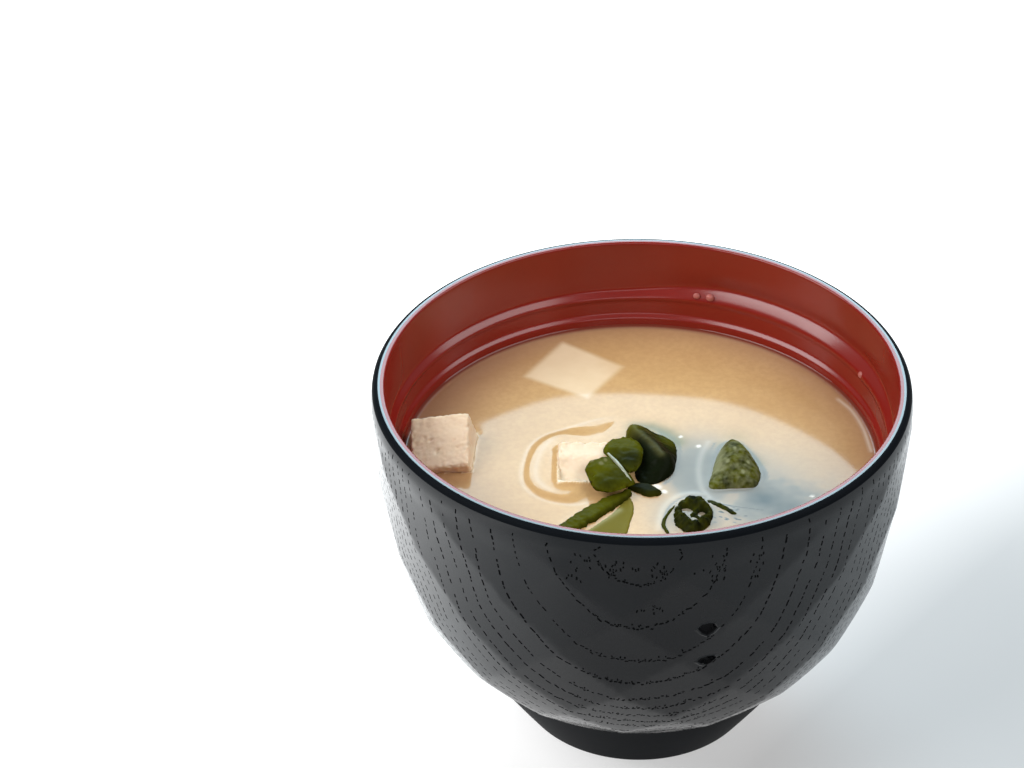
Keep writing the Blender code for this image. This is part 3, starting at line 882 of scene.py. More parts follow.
def waterline(die, level=SOUP_LEVEL):
    """Convex outline where a die's cube meets the soup's level."""
    place, half = die_matrix(die), die["size"] / 2
    corners = [Vector((x, y, z)) * half for x in (-1, 1) for y in (-1, 1) for z in (-1, 1)]
    cuts = []
    for i, a in enumerate(corners):
        for b in corners[i + 1:]:
            if abs((a - b).length - 2 * half) > 1e-6:
                continue
            p, q = place @ a, place @ b
            if (p.z - level) * (q.z - level) < 0:
                cuts.append(tuple(p.lerp(q, (level - p.z) / (q.z - p.z)))[:2])
    cuts = np.array(cuts)
    mid = cuts.mean(axis=0)
    return cuts[np.argsort(np.arctan2(cuts[:, 1] - mid[1], cuts[:, 0] - mid[0]))]


def rounded(polygon, radius, pitch=0.35):
    """A polygon with its corners rounded."""
    p = even(polygon, pitch, True)
    for _ in range(int((radius / pitch) ** 2 * 2)):
        p = 0.5 * p + 0.25 * (np.roll(p, 1, axis=0) + np.roll(p, -1, axis=0))
    return p


# ---- wakame outlines
LEAVES = {
    "fold": ((-2.7, 6.4), (-2.2, 9.4), (-0.9, 10.9), (1.6, 9.3), (4.0, 8.0), (5.9, 6.6), (7.6, 4.4),
             (7.9, 1.0), (7.3, -3.2), (6.3, -6.6), (3.3, -9.7), (0.8, -10.2), (-1.2, -8.6),
             (-1.6, -3.6), (-0.9, 1.4), (-2.0, 4.2)),
    "upper_lobe": ((-7.5, -3.6), (-7.3, -1.6), (-6.6, 0.2), (-5.1, 1.2), (-2.9, 1.6), (-1.0, 0.9),
                   (0.1, -1.4), (0.2, -5.0), (-0.9, -8.4), (-2.2, -9.6), (-3.9, -8.6), (-5.6, -6.0)),
    "lower_lobe": ((-6.9, -4.9), (-8.2, -5.2), (-9.4, -5.7), (-10.8, -6.8), (-11.6, -8.6),
                   (-11.2, -10.2), (-10.3, -11.3), (-10.6, -12.8), (-9.6, -14.6), (-7.4, -15.4),
                   (-5.2, -14.9), (-3.0, -13.9), (-1.6, -13.3), (-2.6, -10.8), (-4.4, -8.0)),
    "strip": ((-2.2, -12.0), (-3.8, -12.7), (-5.9, -13.7), (-8.7, -15.5), (-10.8, -17.2), (-12.9, -19.4),
              (-15.3, -21.6), (-17.2, -24.0), (-18.4, -26.6), (-15.6, -27.0), (-12.2, -24.3),
              (-9.0, -21.4), (-6.0, -18.4), (-2.6, -14.6)),
    "veil": ((-3.4, -12.8), (-2.2, -15.0), (-1.9, -18.0), (-2.7, -22.0), (-4.2, -27.0), (-9.0, -29.0),
             (-13.5, -27.5), (-10.4, -23.6), (-7.2, -20.2), (-4.8, -16.6)),
    "tip": ((-3.2, -11.4), (-1.0, -13.0), (0.9, -14.2), (2.9, -13.9), (4.0, -12.9), (2.8, -11.4),
            (1.4, -10.2), (-1.2, -9.8)),
    "mound": ((13.3, -11.2), (13.6, -9.0), (14.3, -6.6), (15.1, -3.2), (16.3, 0.4), (17.8, 3.0),
              (19.8, 3.6), (21.6, 1.0), (23.2, -2.4), (24.5, -6.4), (24.0, -10.0), (22.6, -11.8),
              (18.0, -12.0), (14.6, -12.2)),
    "curl": ((5.6, -21.4), (6.0, -18.6), (7.2, -16.4), (9.2, -15.0), (11.4, -15.0), (13.1, -16.8),
             (14.0, -20.0), (13.4, -23.4), (11.4, -26.2), (8.6, -27.0), (6.4, -25.0)),
    "tail": ((12.4, -15.6), (13.6, -15.4), (15.4, -16.5), (17.3, -18.2), (18.7, -20.2), (17.8, -20.6),
             (16.0, -19.0), (14.2, -17.6), (12.8, -16.8)),
    "sliver": ((6.4, -17.0), (5.2, -18.3), (4.2, -20.2), (3.4, -22.0), (3.2, -24.2), (4.2, -26.6),
               (4.8, -26.2), (4.2, -24.0), (4.4, -22.0), (5.2, -20.0), (6.2, -18.3)),
}
OUTLINES = {name: spline(line, 6, True) for name, line in LEAVES.items()}


# ---- soup
MENISCUS = 0.55
# The soup's mesh: points round, rings out to its last band, that band's width and rings, the depth of
# the closed sheet, and its reach into the wall
SOUP_AROUND = 512
SOUP_RINGS = 110
SOUP_BAND = 3.0
SOUP_RIM_RINGS = 16
SOUP_SHEET = 6.0
SOUP_BITE = 0.35
# Dice that stand out of the soup, how far from its middle a die shows through, and how deep
RAISED_DICE = ("tofu_left", "tofu_middle")
DIE_REACH = 13
SEEN_DEPTH = 4.0
# Surface rises at dice and leaves: height and reach
DIE_RISES = (("tofu_left", 0.35, 0.9), ("tofu_middle", 0.95, 1.1))
LEAF_RISES = (("fold", 0.16, 1.2), ("strip", 0.2, 1.0), ("tip", 0.15, 0.9), ("mound", 0.24, 1.2),
              ("curl", 0.315, 1.1), ("tail", 0.1, 0.8), ("sliver", 0.1, 0.7))
BUBBLES = ((3.0, -10.6, 0.9), (4.4, -12.2, 0.6), (12.3, 3.4, 0.5), (8.8, 6.8, 0.4), (34.2, -14.6, 0.4))
# Step in the surface round the middle die, and the rings left of the mound and the curl
SWIRL_OUTER = spline([(-3.1, 14.7), (-7.8, 13.7), (-12.0, 12.0), (-15.7, 10.2), (-19.7, 8.0), (-22.6, 4.3),
                      (-24.2, -1.5), (-24.6, -6.4), (-23.8, -10.3), (-21.4, -13.6), (-17.8, -15.6),
                      (-13.6, -16.3), (-10.2, -15.4)], 6)
SWIRL = np.vstack([SWIRL_OUTER, [(-5.0, -12.0), (-1.0, -4.0), (0.0, 6.0)]])
MOUND_RING = spline([(14.4, 4.6), (12.8, 0.3), (11.8, -5.0), (12.0, -11.0), (13.3, -14.6)], 6)
CURL_RING = spline([(2.6, -25.0), (3.0, -21.7), (4.2, -17.4), (6.7, -14.1), (9.8, -13.0), (12.6, -13.6)], 6)
EDGE_GLINT = spline([(42.8, 19.8), (45.3, 15.3), (47.0, 8.7), (47.8, 0.8)], 6)
FALSE_DIE = [(-23.4, 30.0), (-15.0, 43.0), (-2.2, 33.3), (-10.2, 21.6)]


def stroke(p, line, width, at=0.0, closed=False):
    """1 at a distance from a line, falling off to both sides."""
    return np.exp(-((line_distance(p, line, closed) - at) / width) ** 2)


def highest(*fields):
    return np.maximum.reduce(fields)


def off_shape(p, outline):
    """Distance to a closed outline, 0 inside it."""
    return np.where(inside(p, outline), 0.0, line_distance(p, outline, True))


def soup_rise(p):
    """Height of the soup's surface over its level at (n, 2) points."""
    r = np.linalg.norm(p, axis=1)
    edge = SOUP_EDGE - FILM_STEP
    climb = MENISCUS - (edge - r)
    rise = 0.5 * (np.sqrt(climb ** 2 + 0.16) + climb)
    into = np.where(inside(p, SWIRL), line_distance(p, SWIRL, True), 0.0)
    ease = 2.2 + 6.0 * smooth_step((p[:, 0] + 17.0) / 9.0)
    rise = rise + 0.62 * smooth_step(into / ease)
    rise = rise + 0.07 * stroke(p, MOUND_RING, 0.8) + 0.08 * stroke(p, CURL_RING, 0.8)
    for name, high, reach in DIE_RISES:
        rise = rise + high * np.exp(-off_shape(p, rounded(waterline(TOFU[name]), 1.4)) / reach)
    for name, high, reach in LEAF_RISES:
        rise = np.maximum(rise, 0.0) + high * np.exp(-off_shape(p, OUTLINES[name]) / reach)
    slow = 0.10 * np.sin(p[:, 0] * 0.13 + 1.0) * np.sin(p[:, 1] * 0.11)
    return np.minimum(rise, 1.6) + slow * smooth_step((edge - r) / 8.0)


def blob(p, x, y, rx, ry, power=2.0):
    q = ((p[:, 0] - x) / rx) ** 2 + ((p[:, 1] - y) / ry) ** 2
    return np.exp(-q ** (power / 2.0))


def make_soup():
    edge = SOUP_EDGE + SOUP_BITE
    middle = (edge - SOUP_BAND) * np.linspace(0.0, 1.0, SOUP_RINGS)[1:]
    rim = edge - SOUP_BAND + np.arange(1, SOUP_RIM_RINGS + 1) * SOUP_BAND / SOUP_RIM_RINGS
    radii = np.concatenate([middle, rim])
    count = SOUP_AROUND
    angles = math.tau * np.arange(count) / count
    flat = np.array([(0.0, 0.0)] + [(r * math.cos(a), r * math.sin(a)) for r in radii for a in angles])
    rise = soup_rise(flat)
    # The surface dips inside the dice, whose own faces show there
    for name in RAISED_DICE:
        line = rounded(waterline(TOFU[name]), 0.8)
        rise = np.where(inside(flat, line) & (line_distance(flat, line, True) > 0.5), -0.6, rise)
    verts = np.column_stack([flat, SOUP_LEVEL + rise])
    faces = [(0, 1 + i, 1 + (i + 1) % count) for i in range(count)]
    rows = [range(1 + k * count, 1 + (k + 1) * count) for k in range(len(radii) + 1)]
    # Underside, plainly closed
    base = len(verts)
    floor = SOUP_LEVEL - SOUP_SHEET
    under = [(edge * math.cos(a) * 0.98, edge * math.sin(a) * 0.98, floor) for a in angles]
    verts = np.vstack([verts, under, [(0.0, 0.0, floor)]])
    for a, b in zip(rows, rows[1:]):
        faces += quads(a, b)
    faces += [(base + (i + 1) % count, base + i, base + count) for i in range(count)]
    made = new_object("broth", verts, faces, miso_broth())
    p = verts[:, :2]
    near = SOUP_EDGE - FILM_STEP - np.linalg.norm(p, axis=1)
    point_values(made, "wall", smooth_step((MENISCUS + 0.45 - near) / 0.7))
    side = smooth_step((-p[:, 0] - 8.0) / 30.0)
    shade = np.exp(-(np.maximum(near, 0.0) / (6.0 + 6.0 * side)) ** 1.2) * (0.62 + 0.2 * side)
    point_values(made, "shade", np.maximum(shade, 0.9 * np.exp(-((near - MENISCUS) / 1.3) ** 2)))
    point_values(made, "sheen_and_bubbles", soup_sheen_and_bubbles(p))
    show = soup_tofu(p)
    for name in RAISED_DICE:
        inverse = die_matrix(TOFU[name]).inverted()
        half = TOFU[name]["size"] / 2
        for i, (x, y, z) in enumerate(verts[:base]):
            if math.hypot(x - TOFU[name]["centre"][0], y - TOFU[name]["centre"][1]) > DIE_REACH:
                continue
            depth = 0.0
            while depth < SEEN_DEPTH:
                q = inverse @ Vector((x, y, z - depth))
                if max(abs(q.x), abs(q.y), abs(q.z)) < half:
                    break
                depth += 0.2
            show[i] = max(show[i], math.exp(-depth) * 0.85 if depth < SEEN_DEPTH else 0.0)
    point_values(made, "tofu", show)
    point_values(made, "murk_and_shade", soup_murk_and_shade(p))
    point_values(made, "weed", highest(
        0.85 * stroke(p, [(-0.2, 10.4), (2.8, 10.2), (6.0, 8.0), (8.0, 5.0)], 2.1),
        0.35 * stroke(p, [(17.0, 4.0), (21.0, 4.5), (24.5, -3.0)], 1.4),
        0.25 * stroke(p, [(-7.0, -13.0), (-2.0, -14.0)], 1.2),
        0.30 * blob(p, 20.5, 6.0, 3.0, 3.5)))
    return made


def soup_sheen_and_bubbles(p):
    """Painted highlights on the soup: pale reflection lines along the swirl, round the mound and the curl and
    at the wall's edge, and bubbles as pale spots.
    """
    return highest(
        0.20 * stroke(p, SWIRL_OUTER, 0.45) * smooth_step((-p[:, 0] - 3.0) / 8.0),
        0.22 * stroke(p, SWIRL_OUTER, 0.8, 3.0) * inside(p, SWIRL) * smooth_step((-p[:, 0] - 16.0) / 3.0),
        0.16 * stroke(p, MOUND_RING, 0.7), 0.18 * stroke(p, CURL_RING, 0.7),
        0.42 * stroke(p, EDGE_GLINT, 0.4),
        *(blob(p, x, y, size, size, 3.0) for x, y, size in BUBBLES))


def soup_tofu(p):
    """How far the sunken back die shows through."""
    edge = np.where(inside(p, FALSE_DIE), 1, -1) * line_distance(p, FALSE_DIE, True)
    show = 0.80 * smooth_step(0.5 + edge / 1.9)
    return show * (1.0 - 0.35 * smooth_step((p[:, 0] + 9.0) / 8.0)) * (1.0 + 0.10 * noise_at(p, 4.0, 7.0))


def soup_murk_and_shade(p):
    """Dark leaves and threads deep in the soup, and painted shade round the floating leaves and beside the
    rings.
    """
    drift = 1.0 + 0.45 * noise_at(p, 7.0, 21.0)
    curl_middle = np.array([9.6, -21.0])
    murk_and_shade = highest(
        0.74 * drift * blob(p, 26.5, -16.5, 12.0, 9.5, 1.9),
        0.56 * blob(p, 12.5, -6.5, 8.5, 14.0, 3.0),
        0.40 * blob(p, 10.0, -20.0, 9.0, 9.0, 3.0),
        0.36 * blob(p, 21.0, -12.0, 17.0, 15.0, 3.0),
        # Painted shade round the mound and the fold, and beside the curl's and the mound's rings
        0.55 * stroke(p, OUTLINES["mound"], 1.2, 0.6, True),
        0.50 * stroke(p, OUTLINES["fold"], 0.9, 0.4, True) * smooth_step((p[:, 0] - 3.0) / 2.0),
        0.50 * stroke(curl_middle + (p - curl_middle) * 1.16, CURL_RING, 0.6),
        0.45 * stroke(p - np.array([1.3, -0.2]), MOUND_RING, 0.5),
        0.8 * stroke(p, [(13.6, -16.2), (18.0, -17.6), (24.0, -19.0)], 0.28))
    specks = smooth_step((noise_at(p, 0.8, 9.0) - 0.35) / 0.25) * blob(p, 17.5, -21.0, 4.5, 4.5, 4.0)
    return np.clip(np.maximum(murk_and_shade * (1.0 + 0.12 * noise_at(p, 6.0, 3.0)), specks), 0, 1)


# ---- tofu
def make_die(name, seed, finish):
    die = TOFU[name]
    half = die["size"] / 2
    mesh = bmesh.new()
    bmesh.ops.create_cube(mesh, size=die["size"])
    bmesh.ops.subdivide_edges(mesh, edges=mesh.edges[:], cuts=DIE_CUTS, use_grid_fill=True)
    flat = half - DIE_ROUND
    place = die_matrix(die)
    for v in mesh.verts:
        q = v.co.copy()
        core = Vector([max(-flat, min(flat, c)) for c in q])
        out = q - core
        if out.length > 1e-6:
            q = core + out.normalized() * DIE_ROUND
            n = out.normalized()
        edge_near = sorted((half - abs(c) for c in v.co))[1]
        rough = 0.07 + 0.28 * math.exp(-edge_near / 0.8)
        wave = noise.fractal(q * 0.25 + Vector((seed, 0, 0)), 1.0, 2.0, 2) * 0.22
        fine = noise.fractal(q * 1.3 + Vector((0, seed, 0)), 0.8, 2.0, 4) * rough
        pit = noise.noise(q * 0.8 + Vector((seed, seed, 3.0)))
        hole = -0.35 * max(pit - 0.42, 0.0) / 0.3
        q += n * (min(wave + fine, 0.10) - 0.12 + hole)
        if name == "tofu_back" and (place @ q).z > SOUP_LEVEL - 0.25:
            q.z -= (place @ q).z - SOUP_LEVEL + 0.25
        # The middle die's top is torn along its back edge and slopes to the front
        if name == "tofu_middle":
            back = smooth_step((v.co.y - half + 2.2) / 1.6) * smooth_step((v.co.z - half + 1.2) / 1.0)
            q.z += float(back) * (0.42 * abs(math.sin(1.05 * v.co.x + 0.6)) - 0.22)
            front = smooth_step((1.6 - v.co.y) / 6.5) * smooth_step((v.co.z - half + 3.0) / 2.0)
            q.z -= float(front) * 3.0
        v.co = q
    for v in mesh.verts:
        v.co = place @ v.co
    made = link_mesh(bpy.data.meshes.new(name + "_die"), mesh, finish, MM)
    z = np.array([v.co.z for v in made.data.vertices]) / MM
    # Lighter towards the soup's level: broth soak, and painted light on the low sides.
    point_values(made, "wet_and_lit", np.clip(1.0 - (z - SOUP_LEVEL - 0.8) / 2.2, 0, 1) * 0.75)
    return made


# ---- wakame
LEAF_NODES = ("fold", "upper_lobe", "lower_lobe", "strip", "tip", "mound", "curl")
SPARKS = ((-8.3, -8.2, 0.42), (-7.4, -7.0, 0.3), (-10.2, -6.9, 0.35), (0.6, -8.6, 0.3), (1.2, -10.0, 0.35),
          (-0.2, -9.3, 0.25), (21.8, -6.3, 0.3), (19.2, -3.0, 0.28), (20.6, -9.0, 0.35), (17.6, -6.2, 0.3))


def sparks(p):
    """Small glints on the moist leaves, painted as pale spots."""
    return np.max([blob(p, x, y, size, 1.4 * size, 3.0) for x, y, size in SPARKS], axis=0)


def make_leaf(key, top, under, finish, pitch=0.3, scallop=0.12, seed=1.0, thin_and_lit=None, pale=None):
    """Closed leaf over an outline; top and under give heights over the soup from (points, edge distance)."""
    line = even(OUTLINES[key], pitch, True)
    tangent = np.roll(line, -1, axis=0) - np.roll(line, 1, axis=0)
    normal = np.column_stack([tangent[:, 1], -tangent[:, 0]])
    normal /= np.maximum(np.linalg.norm(normal, axis=1), 1e-9)[:, None]
    line = line + normal * (noise_at(line, 1.3, seed) * scallop)[:, None]
    low, high = line.min(axis=0), line.max(axis=0)
    rows = []
    for i, y in enumerate(np.arange(low[1], high[1], pitch * 0.87)):
        rows += [(x, y) for x in np.arange(low[0] + pitch * 0.5 * (i % 2), high[0], pitch)]
    grid = np.array(rows)
    grid = grid[inside(grid, line)]
    grid = grid[line_distance(grid, line, True) > 0.45 * pitch]
    n = len(line)
    pts = [Vector(p) for p in np.vstack([line, grid])]
    border = [(i, (i + 1) % n) for i in range(n)]
    verts, _, faces, _, _, _ = delaunay_2d_cdt(pts, border, [], 1, 1e-5, True)
    flat = np.array([tuple(v) for v in verts])
    d = line_distance(flat, line, True)
    on_edge = d < 1e-3
    upper, lower = top(flat, d), under(flat, d)
    middle = 0.5 * (upper + lower)
    upper, lower = np.where(on_edge, middle, upper), np.where(on_edge, middle, lower)
    # The underside shares the edge's points
    low_index = {}
    points = [(x, y, SOUP_LEVEL + h) for (x, y), h in zip(flat, upper)]
    for i, (x, y) in enumerate(flat):
        low_index[i] = i if on_edge[i] else len(points)
        if not on_edge[i]:
            points.append((x, y, SOUP_LEVEL + lower[i]))
    all_faces = [tuple(f) for f in faces] + [tuple(low_index[i] for i in reversed(f)) for f in faces]
    all_faces = [f for f in all_faces if len(set(f)) == 3]
    made = new_object(f"wakame_{key}_leaf", points, all_faces, finish)
    every = np.array(points)[:, :2]
    de = line_distance(every, line, True)
    point_values(made, "thin_and_lit", thin_and_lit(every, de) if thin_and_lit else np.exp(-de / 0.8))
    point_values(made, "pale", pale(every, de) if pale else np.zeros(len(every)))
    return made


def dome(d, width):
    """0 at the edge, 1 from a width inwards, round."""
    u = np.clip(d / width, 0, 1)
    return np.sqrt(np.clip(1 - (1 - u) ** 2, 0, 1))


def sunk(base, belly, width):
    """Underside of a floating leaf."""
    return lambda p, d: base - belly * dome(d, width)


def lobe(base, lift, seed):
    """Top and underside of a slim leaf held over the soup."""
    def top(p, d):
        return base(p) + lift * dome(d, 2.2) + 0.22 * noise_at(p, 1.8, seed)

    def under(p, d):
        return top(p, d) - 0.12 - 0.3 * dome(d, 0.8)
    return top, under


def make_wakame():
    """Leaves by their short names."""
    finish = wakame_look()
    mottled = wakame_look("wakame_mound_look", pale=(0.20, 0.21, 0.11))
    veil = wakame_look("wakame_veil_look", dark=(0.145, 0.125, 0.018), olive=(0.185, 0.160, 0.028),
                       pale=(0.36, 0.36, 0.20))
    ridge = [(-1.4, 7.5), (-0.8, 4.8), (1.7, 1.3), (4.2, -3.9)]

    def fold_top(p, d):
        crest = stroke(p, ridge, 3.3)
        return -0.35 + dome(d, 1.5) * (1.0 + 3.0 * crest * smooth_step((9.5 - p[:, 1]) / 8.0 + 0.45)
                                       + 0.30 * noise_at(p, 2.2, 5.0))

    def mound_top(p, d):
        lump = 0.22 * noise_at(p, 2.4, 12.0) + 0.10 * noise_at(p, 0.9, 2.0)
        return -0.2 + dome(d, 2.4) * (0.9 + 3.4 * blob(p, 19.6, -2.6, 5.0, 7.5) + lump)

    # Pale on the lit left flank as a painted highlight, with mottling and painted glints.
    def mound_pale(p, d):
        back = smooth_step((18.4 - p[:, 0]) / 3.0) * smooth_step((p[:, 1] + 10.0) / 4.0)
        return np.clip(0.85 * back + 0.22 + 0.5 * noise_at(p, 1.0, 6.0) + 1.5 * sparks(p), 0, 1)

    def curl_top(p, d):
        crest = np.exp(-((d - 1.9) / 1.3) ** 2)
        holes = blob(p, 8.3, -19.4, 1.1, 1.5) + blob(p, 11.6, -20.6, 0.8, 1.2) + blob(p, 9.6, -22.6, 1.3, 0.8)
        return -0.3 + dome(d, 0.9) * (0.8 + 1.6 * crest + 0.6 * noise_at(p, 1.3, 15.0)) - 2.8 * holes

    glints = dict(scallop=0.5, pale=lambda p, d: 2.0 * sparks(p))
    return {
        "fold": make_leaf(
            "fold", fold_top, sunk(-0.4, 0.8, 1.5), finish, seed=2.0,
            # Olive at the lit upper left and right of the fold; the rest painted dark as shade on its front.
            thin_and_lit=lambda p, d: 1.05 * blob(p, -1.8, 7.4, 3.2, 4.2) + 0.75 * blob(p, 6.2, 4.4, 2.6, 3.4),
            # A pale line along the ridge: a painted reflection.
            pale=lambda p, d: 0.42 * stroke(p, ridge, 0.8)),
        "upper_lobe": make_leaf(
            "upper_lobe", *lobe(lambda p: 3.6 - 0.10 * np.clip(-4.0 - p[:, 1], 0, 8), 0.8, 3.0),
            finish, seed=3.0,
            # Olive at the thin edges and towards the back; darker towards the front as painted shade.
            thin_and_lit=lambda p, d: 0.22 + smooth_step((p[:, 1] + 6.5) / 5.0) * 0.55 + 0.45 * np.exp(-d / 0.7),
            **glints),
        "lower_lobe": make_leaf(
            "lower_lobe", *lobe(lambda p: 3.5 - 0.16 * np.clip(-9.0 - p[:, 1], 0, 8), 0.9, 6.0),
            finish, seed=5.0,
            thin_and_lit=lambda p, d: 0.42 + 0.5 * blob(p, -8.0, -8.5, 3.6, 3.4) + 0.45 * np.exp(-d / 0.7),
            **glints),
        "strip": make_leaf(
            "strip", lambda p, d: -0.2 + dome(d, 0.9) * (1.5 + 0.2 * noise_at(p, 1.5, 9.0)),
            sunk(-0.3, 0.5, 0.9), finish, seed=7.0, scallop=0.5,
            thin_and_lit=lambda p, d: 0.85 - 0.45 * np.exp(-d / 0.4)),
        "tip": make_leaf(
            "tip", lambda p, d: -0.2 + dome(d, 1.0) * 1.3, sunk(-0.3, 0.5, 0.9), finish, seed=8.0,
            thin_and_lit=lambda p, d: 0.15 + 0.3 * np.exp(-d / 0.5)),
        "mound": make_leaf(
            "mound", mound_top, sunk(-0.3, 0.9, 1.2), mottled, seed=9.0, pale=mound_pale,
            # Mottled, and lighter on the left flank as painted light.
            thin_and_lit=lambda p, d: 0.60 + 0.6 * noise_at(p, 2.0, 4.0) + 0.25 * smooth_step((17.5 - p[:, 0]) / 3.0)),
        "curl": make_leaf(
            "curl", curl_top, sunk(-1.2, 2.2, 1.2), finish, seed=10.0, scallop=0.3,
            thin_and_lit=lambda p, d: 0.30 + 0.35 * noise_at(p, 1.6, 8.0)),
        "tail": make_leaf(
            "tail", lambda p, d: -0.1 + dome(d, 0.6) * (0.45 + 0.2 * noise_at(p, 1.0, 1.0)),
            sunk(-0.3, 0.3, 0.6), finish, seed=11.0, pitch=0.25,
            thin_and_lit=lambda p, d: 0.3 + 0.3 * noise_at(p, 1.5, 8.0)),
        "sliver": make_leaf(
            "sliver", lambda p, d: -0.1 + dome(d, 0.4) * 0.55, sunk(-0.3, 0.3, 0.4), finish, seed=13.0,
            pitch=0.22, scallop=0.05, thin_and_lit=lambda p, d: 0.55 + 0.0 * d),
        "veil": make_leaf(
            "veil", lambda p, d: 0.02 + dome(d, 1.2) * 0.30, sunk(-0.35, 0.3, 1.0), veil, seed=14.0,
            # A pale streak across the veil: a painted highlight.
            scallop=0.1, pale=lambda p, d: 0.6 * stroke(p, [(-5.2, -18.6), (-12.5, -25.6)], 0.8)),
    }


TUBE_SIDES = 10


def tube(name, points, radii, finish):
    """Closed tube along a line of (x, y, height over the soup), pointed at its ends."""
    line = even(spline(points, 12), 0.25)
    n, sides = len(line), TUBE_SIDES
    size = np.interp(np.linspace(0, 1, n), np.linspace(0, 1, len(radii)), radii)
    verts, faces = [], []
    for i, p in enumerate(line):
        t = line[min(i + 1, n - 1)] - line[max(i - 1, 0)]
        t = t / np.linalg.norm(t)
        side = np.cross(t, (0, 0, 1.0))
        side = side / np.linalg.norm(side)
        up = np.cross(side, t)
        for k in range(sides):
            a = math.tau * k / sides
            q = p + (side * math.cos(a) + up * math.sin(a)) * size[i]
            verts.append((q[0], q[1], SOUP_LEVEL + q[2]))
    for i in range(0, (n - 1) * sides, sides):
        faces += quads(range(i, i + sides), range(i + sides, i + 2 * sides))
    faces.append(tuple(range(sides)))
    faces.append(tuple((n - 1) * sides + k for k in reversed(range(sides))))
    return new_object(name, verts, faces, finish)


# ---- drops on the wall
# Turn, height and size
DROPS = ((73.5, 68.6, 0.8), (70.1, 68.7, 0.95), (21.5, 67.6, 0.9))


def make_drops():
    """A few drops clinging to the wall at the ledge."""
    mesh = bmesh.new()
    for turn, high, size in DROPS:
        a = math.radians(turn)
        r = float(inner_radius(min(high, LEDGE_HEIGHT - 0.5))) + 0.35
        place = Matrix.Translation((r * math.cos(a), r * math.sin(a), high)) @ Matrix.Rotation(a, 4, "Z")
        bmesh.ops.create_icosphere(mesh, subdivisions=3, radius=size,
                                   matrix=place @ Matrix.Diagonal((0.75, 1.0, 0.9, 1.0)))
    # Pink lighter than the wall: the red wall seen through the drops, lightened as a painted highlight.
    look = Nodes("wall_drops_look").finish((0.42, 0.13, 0.11), 0.15, IOR=1.34, Specular_IOR_Level=0.5)
    return link_mesh(bpy.data.meshes.new("wall_drops"), mesh, look, MM)


# ---- stage, lights and camera
LIGHT_TARGET = (0, 0, 0.06)
STUDIO_STRENGTH = 0.30


def area_light(name, place, size, power, colour=(1, 1, 1), along=(1.0, 0.0, 0.0)):
    """Rectangle facing the bowl, its first side along a direction."""
    data = bpy.data.lights.new(name, "AREA")
    data.shape = "RECTANGLE"
    data.size, data.size_y = size
    data.energy = power
    data.color = colour
    made = bpy.data.objects.new(name, data)
    back = (Vector(place) - Vector(LIGHT_TARGET)).normalized()
    side = Vector(along)
    side = (side - back * side.dot(back)).normalized()
    turn = Matrix((side, back.cross(side), back)).transposed().to_4x4()
    made.matrix_world = Matrix.Translation(Vector(place)) @ turn
    scene.collection.objects.link(made)
    return made


# The floor glows more to the left and behind than to the right and in front
FLOOR_FALL = 2.5
FLOOR_GLOW = [(0.0, 0.14), (0.30, 0.16), (0.41, 0.25), (0.47, 0.55), (0.55, 0.75), (0.70, 1.60), (1.0, 1.0)]


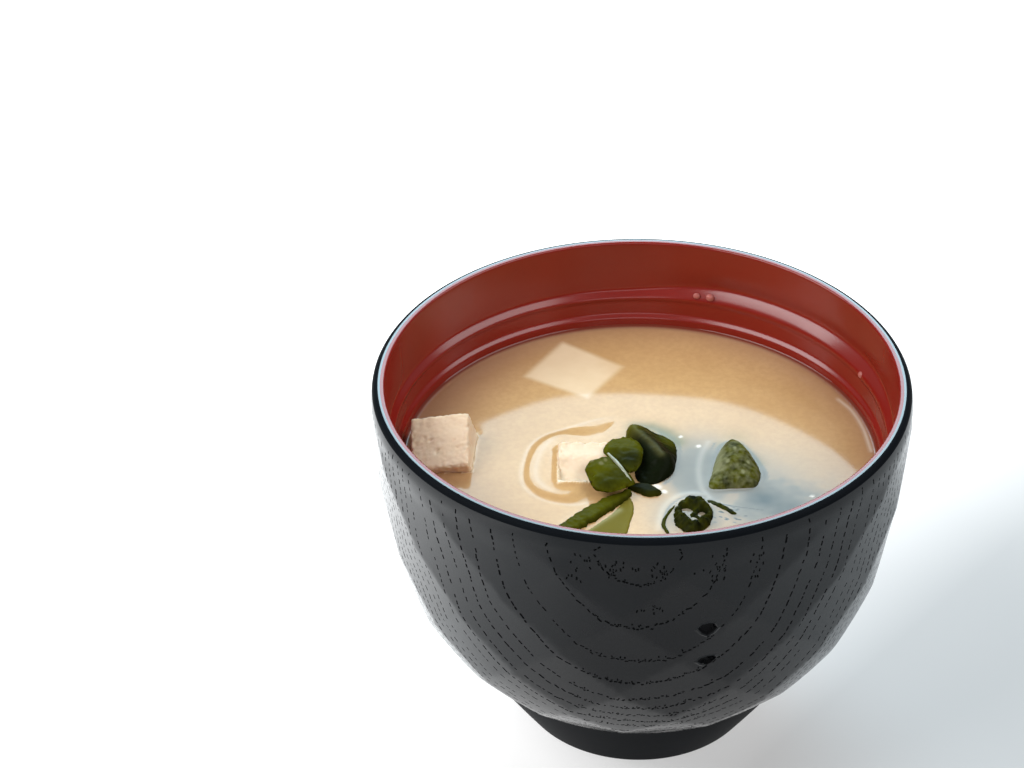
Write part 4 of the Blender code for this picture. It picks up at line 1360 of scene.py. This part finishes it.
def make_stage():
    bpy.ops.mesh.primitive_grid_add(x_subdivisions=8, y_subdivisions=8, size=6.0)
    floor = bpy.context.object
    floor.name = "floor"
    n = Nodes("floor_look")
    n.finish((0.42, 0.42, 0.42), 0.9)
    across = n.add("ShaderNodeSeparateXYZ")
    n.put(across.inputs["Vector"], n.place(
        Rotation=(0.0, 0.0, math.radians(-41.0)), Location=(0.5, 0.0, 0.0),
        Scale=(-FLOOR_FALL, FLOOR_FALL, 1.0)))
    n.put(n.shader.inputs["Emission Color"], n.grey(across.outputs["X"], FLOOR_GLOW))
    n.shader.inputs["Emission Strength"].default_value = 1.0
    floor.data.materials.append(n.made)
    world = bpy.data.worlds.new("studio")
    world.use_nodes = True
    light = world.node_tree.nodes["Background"].inputs
    light["Color"].default_value = (1.0, 1.0, 1.0, 1.0)
    light["Strength"].default_value = STUDIO_STRENGTH
    scene.world = world
    area_light("backdrop", (0.05, 1.25, 0.95), (1.1, 0.9), 19.5, (0.60, 0.86, 1.0))
    area_light("front_fill", (0.1, -1.15, 0.70), (0.9, 0.5), 2.3)
    for name, side, power in (("left_box", -1, 12.0), ("right_box", 1, 6.6)):
        area_light(name, (side * 0.80, -0.15, 0.86), (1.05, 0.55), power,
                   along=(side * 0.51, 0.745, -0.335))


CAMERA_LENS = 102.886
CAMERA_PITCH = math.radians(34.364)
CAMERA_ROLL = math.radians(-0.811)
CAMERA_PLACE = (-0.02619, -0.48990, 0.41432)


def make_camera():
    data = bpy.data.cameras.new("camera")
    data.lens = CAMERA_LENS
    data.sensor_width = 36.0
    made = bpy.data.objects.new("camera", data)
    pitch, roll = CAMERA_PITCH, CAMERA_ROLL
    forward = Vector((0.0, math.cos(pitch), -math.sin(pitch)))
    right0, up0 = Vector((1.0, 0.0, 0.0)), Vector((0.0, math.sin(pitch), math.cos(pitch)))
    right = right0 * math.cos(roll) + up0 * math.sin(roll)
    up = up0 * math.cos(roll) - right0 * math.sin(roll)
    turn = Matrix((right, up, -forward)).transposed().to_4x4()
    made.matrix_world = Matrix.Translation(CAMERA_PLACE) @ turn
    scene.collection.objects.link(made)
    scene.camera = made


def main():
    scene.view_settings.view_transform = "Standard"
    make_stage()
    make_camera()
    outside, lining = make_outside(), make_inside()
    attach(outside, "root")
    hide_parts("bowl")
    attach(lining, "root")
    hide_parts("bowl")
    drops = make_drops()
    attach(drops, "root")
    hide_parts("bowl")
    soup = make_soup()
    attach(soup, "root")
    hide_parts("soup")
    tofu = tofu_look()
    for seed, name in enumerate(TOFU):
        die = make_die(name, 3.0 + 7.0 * seed, tofu)
        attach(die, "root")
        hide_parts(name)
    for key, leaf in make_wakame().items():
        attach(leaf, "root")
        if key in LEAF_NODES:
            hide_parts("wakame_" + key)
    rib_look = Nodes("wakame_rib_look")
    rib_colour = rib_look.mix(rib_look.texture(600.0), (0.14, 0.16, 0.10), (0.40, 0.42, 0.32))
    rib = tube("wakame_rib", [(-6.8, -4.6, 4.3), (-4.5, -9.0, 4.2), (-2.4, -13.0, 3.3)],
               (0.22, 0.40, 0.36, 0.20), rib_look.finish(rib_colour, 0.25))
    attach(rib, "root")


main()
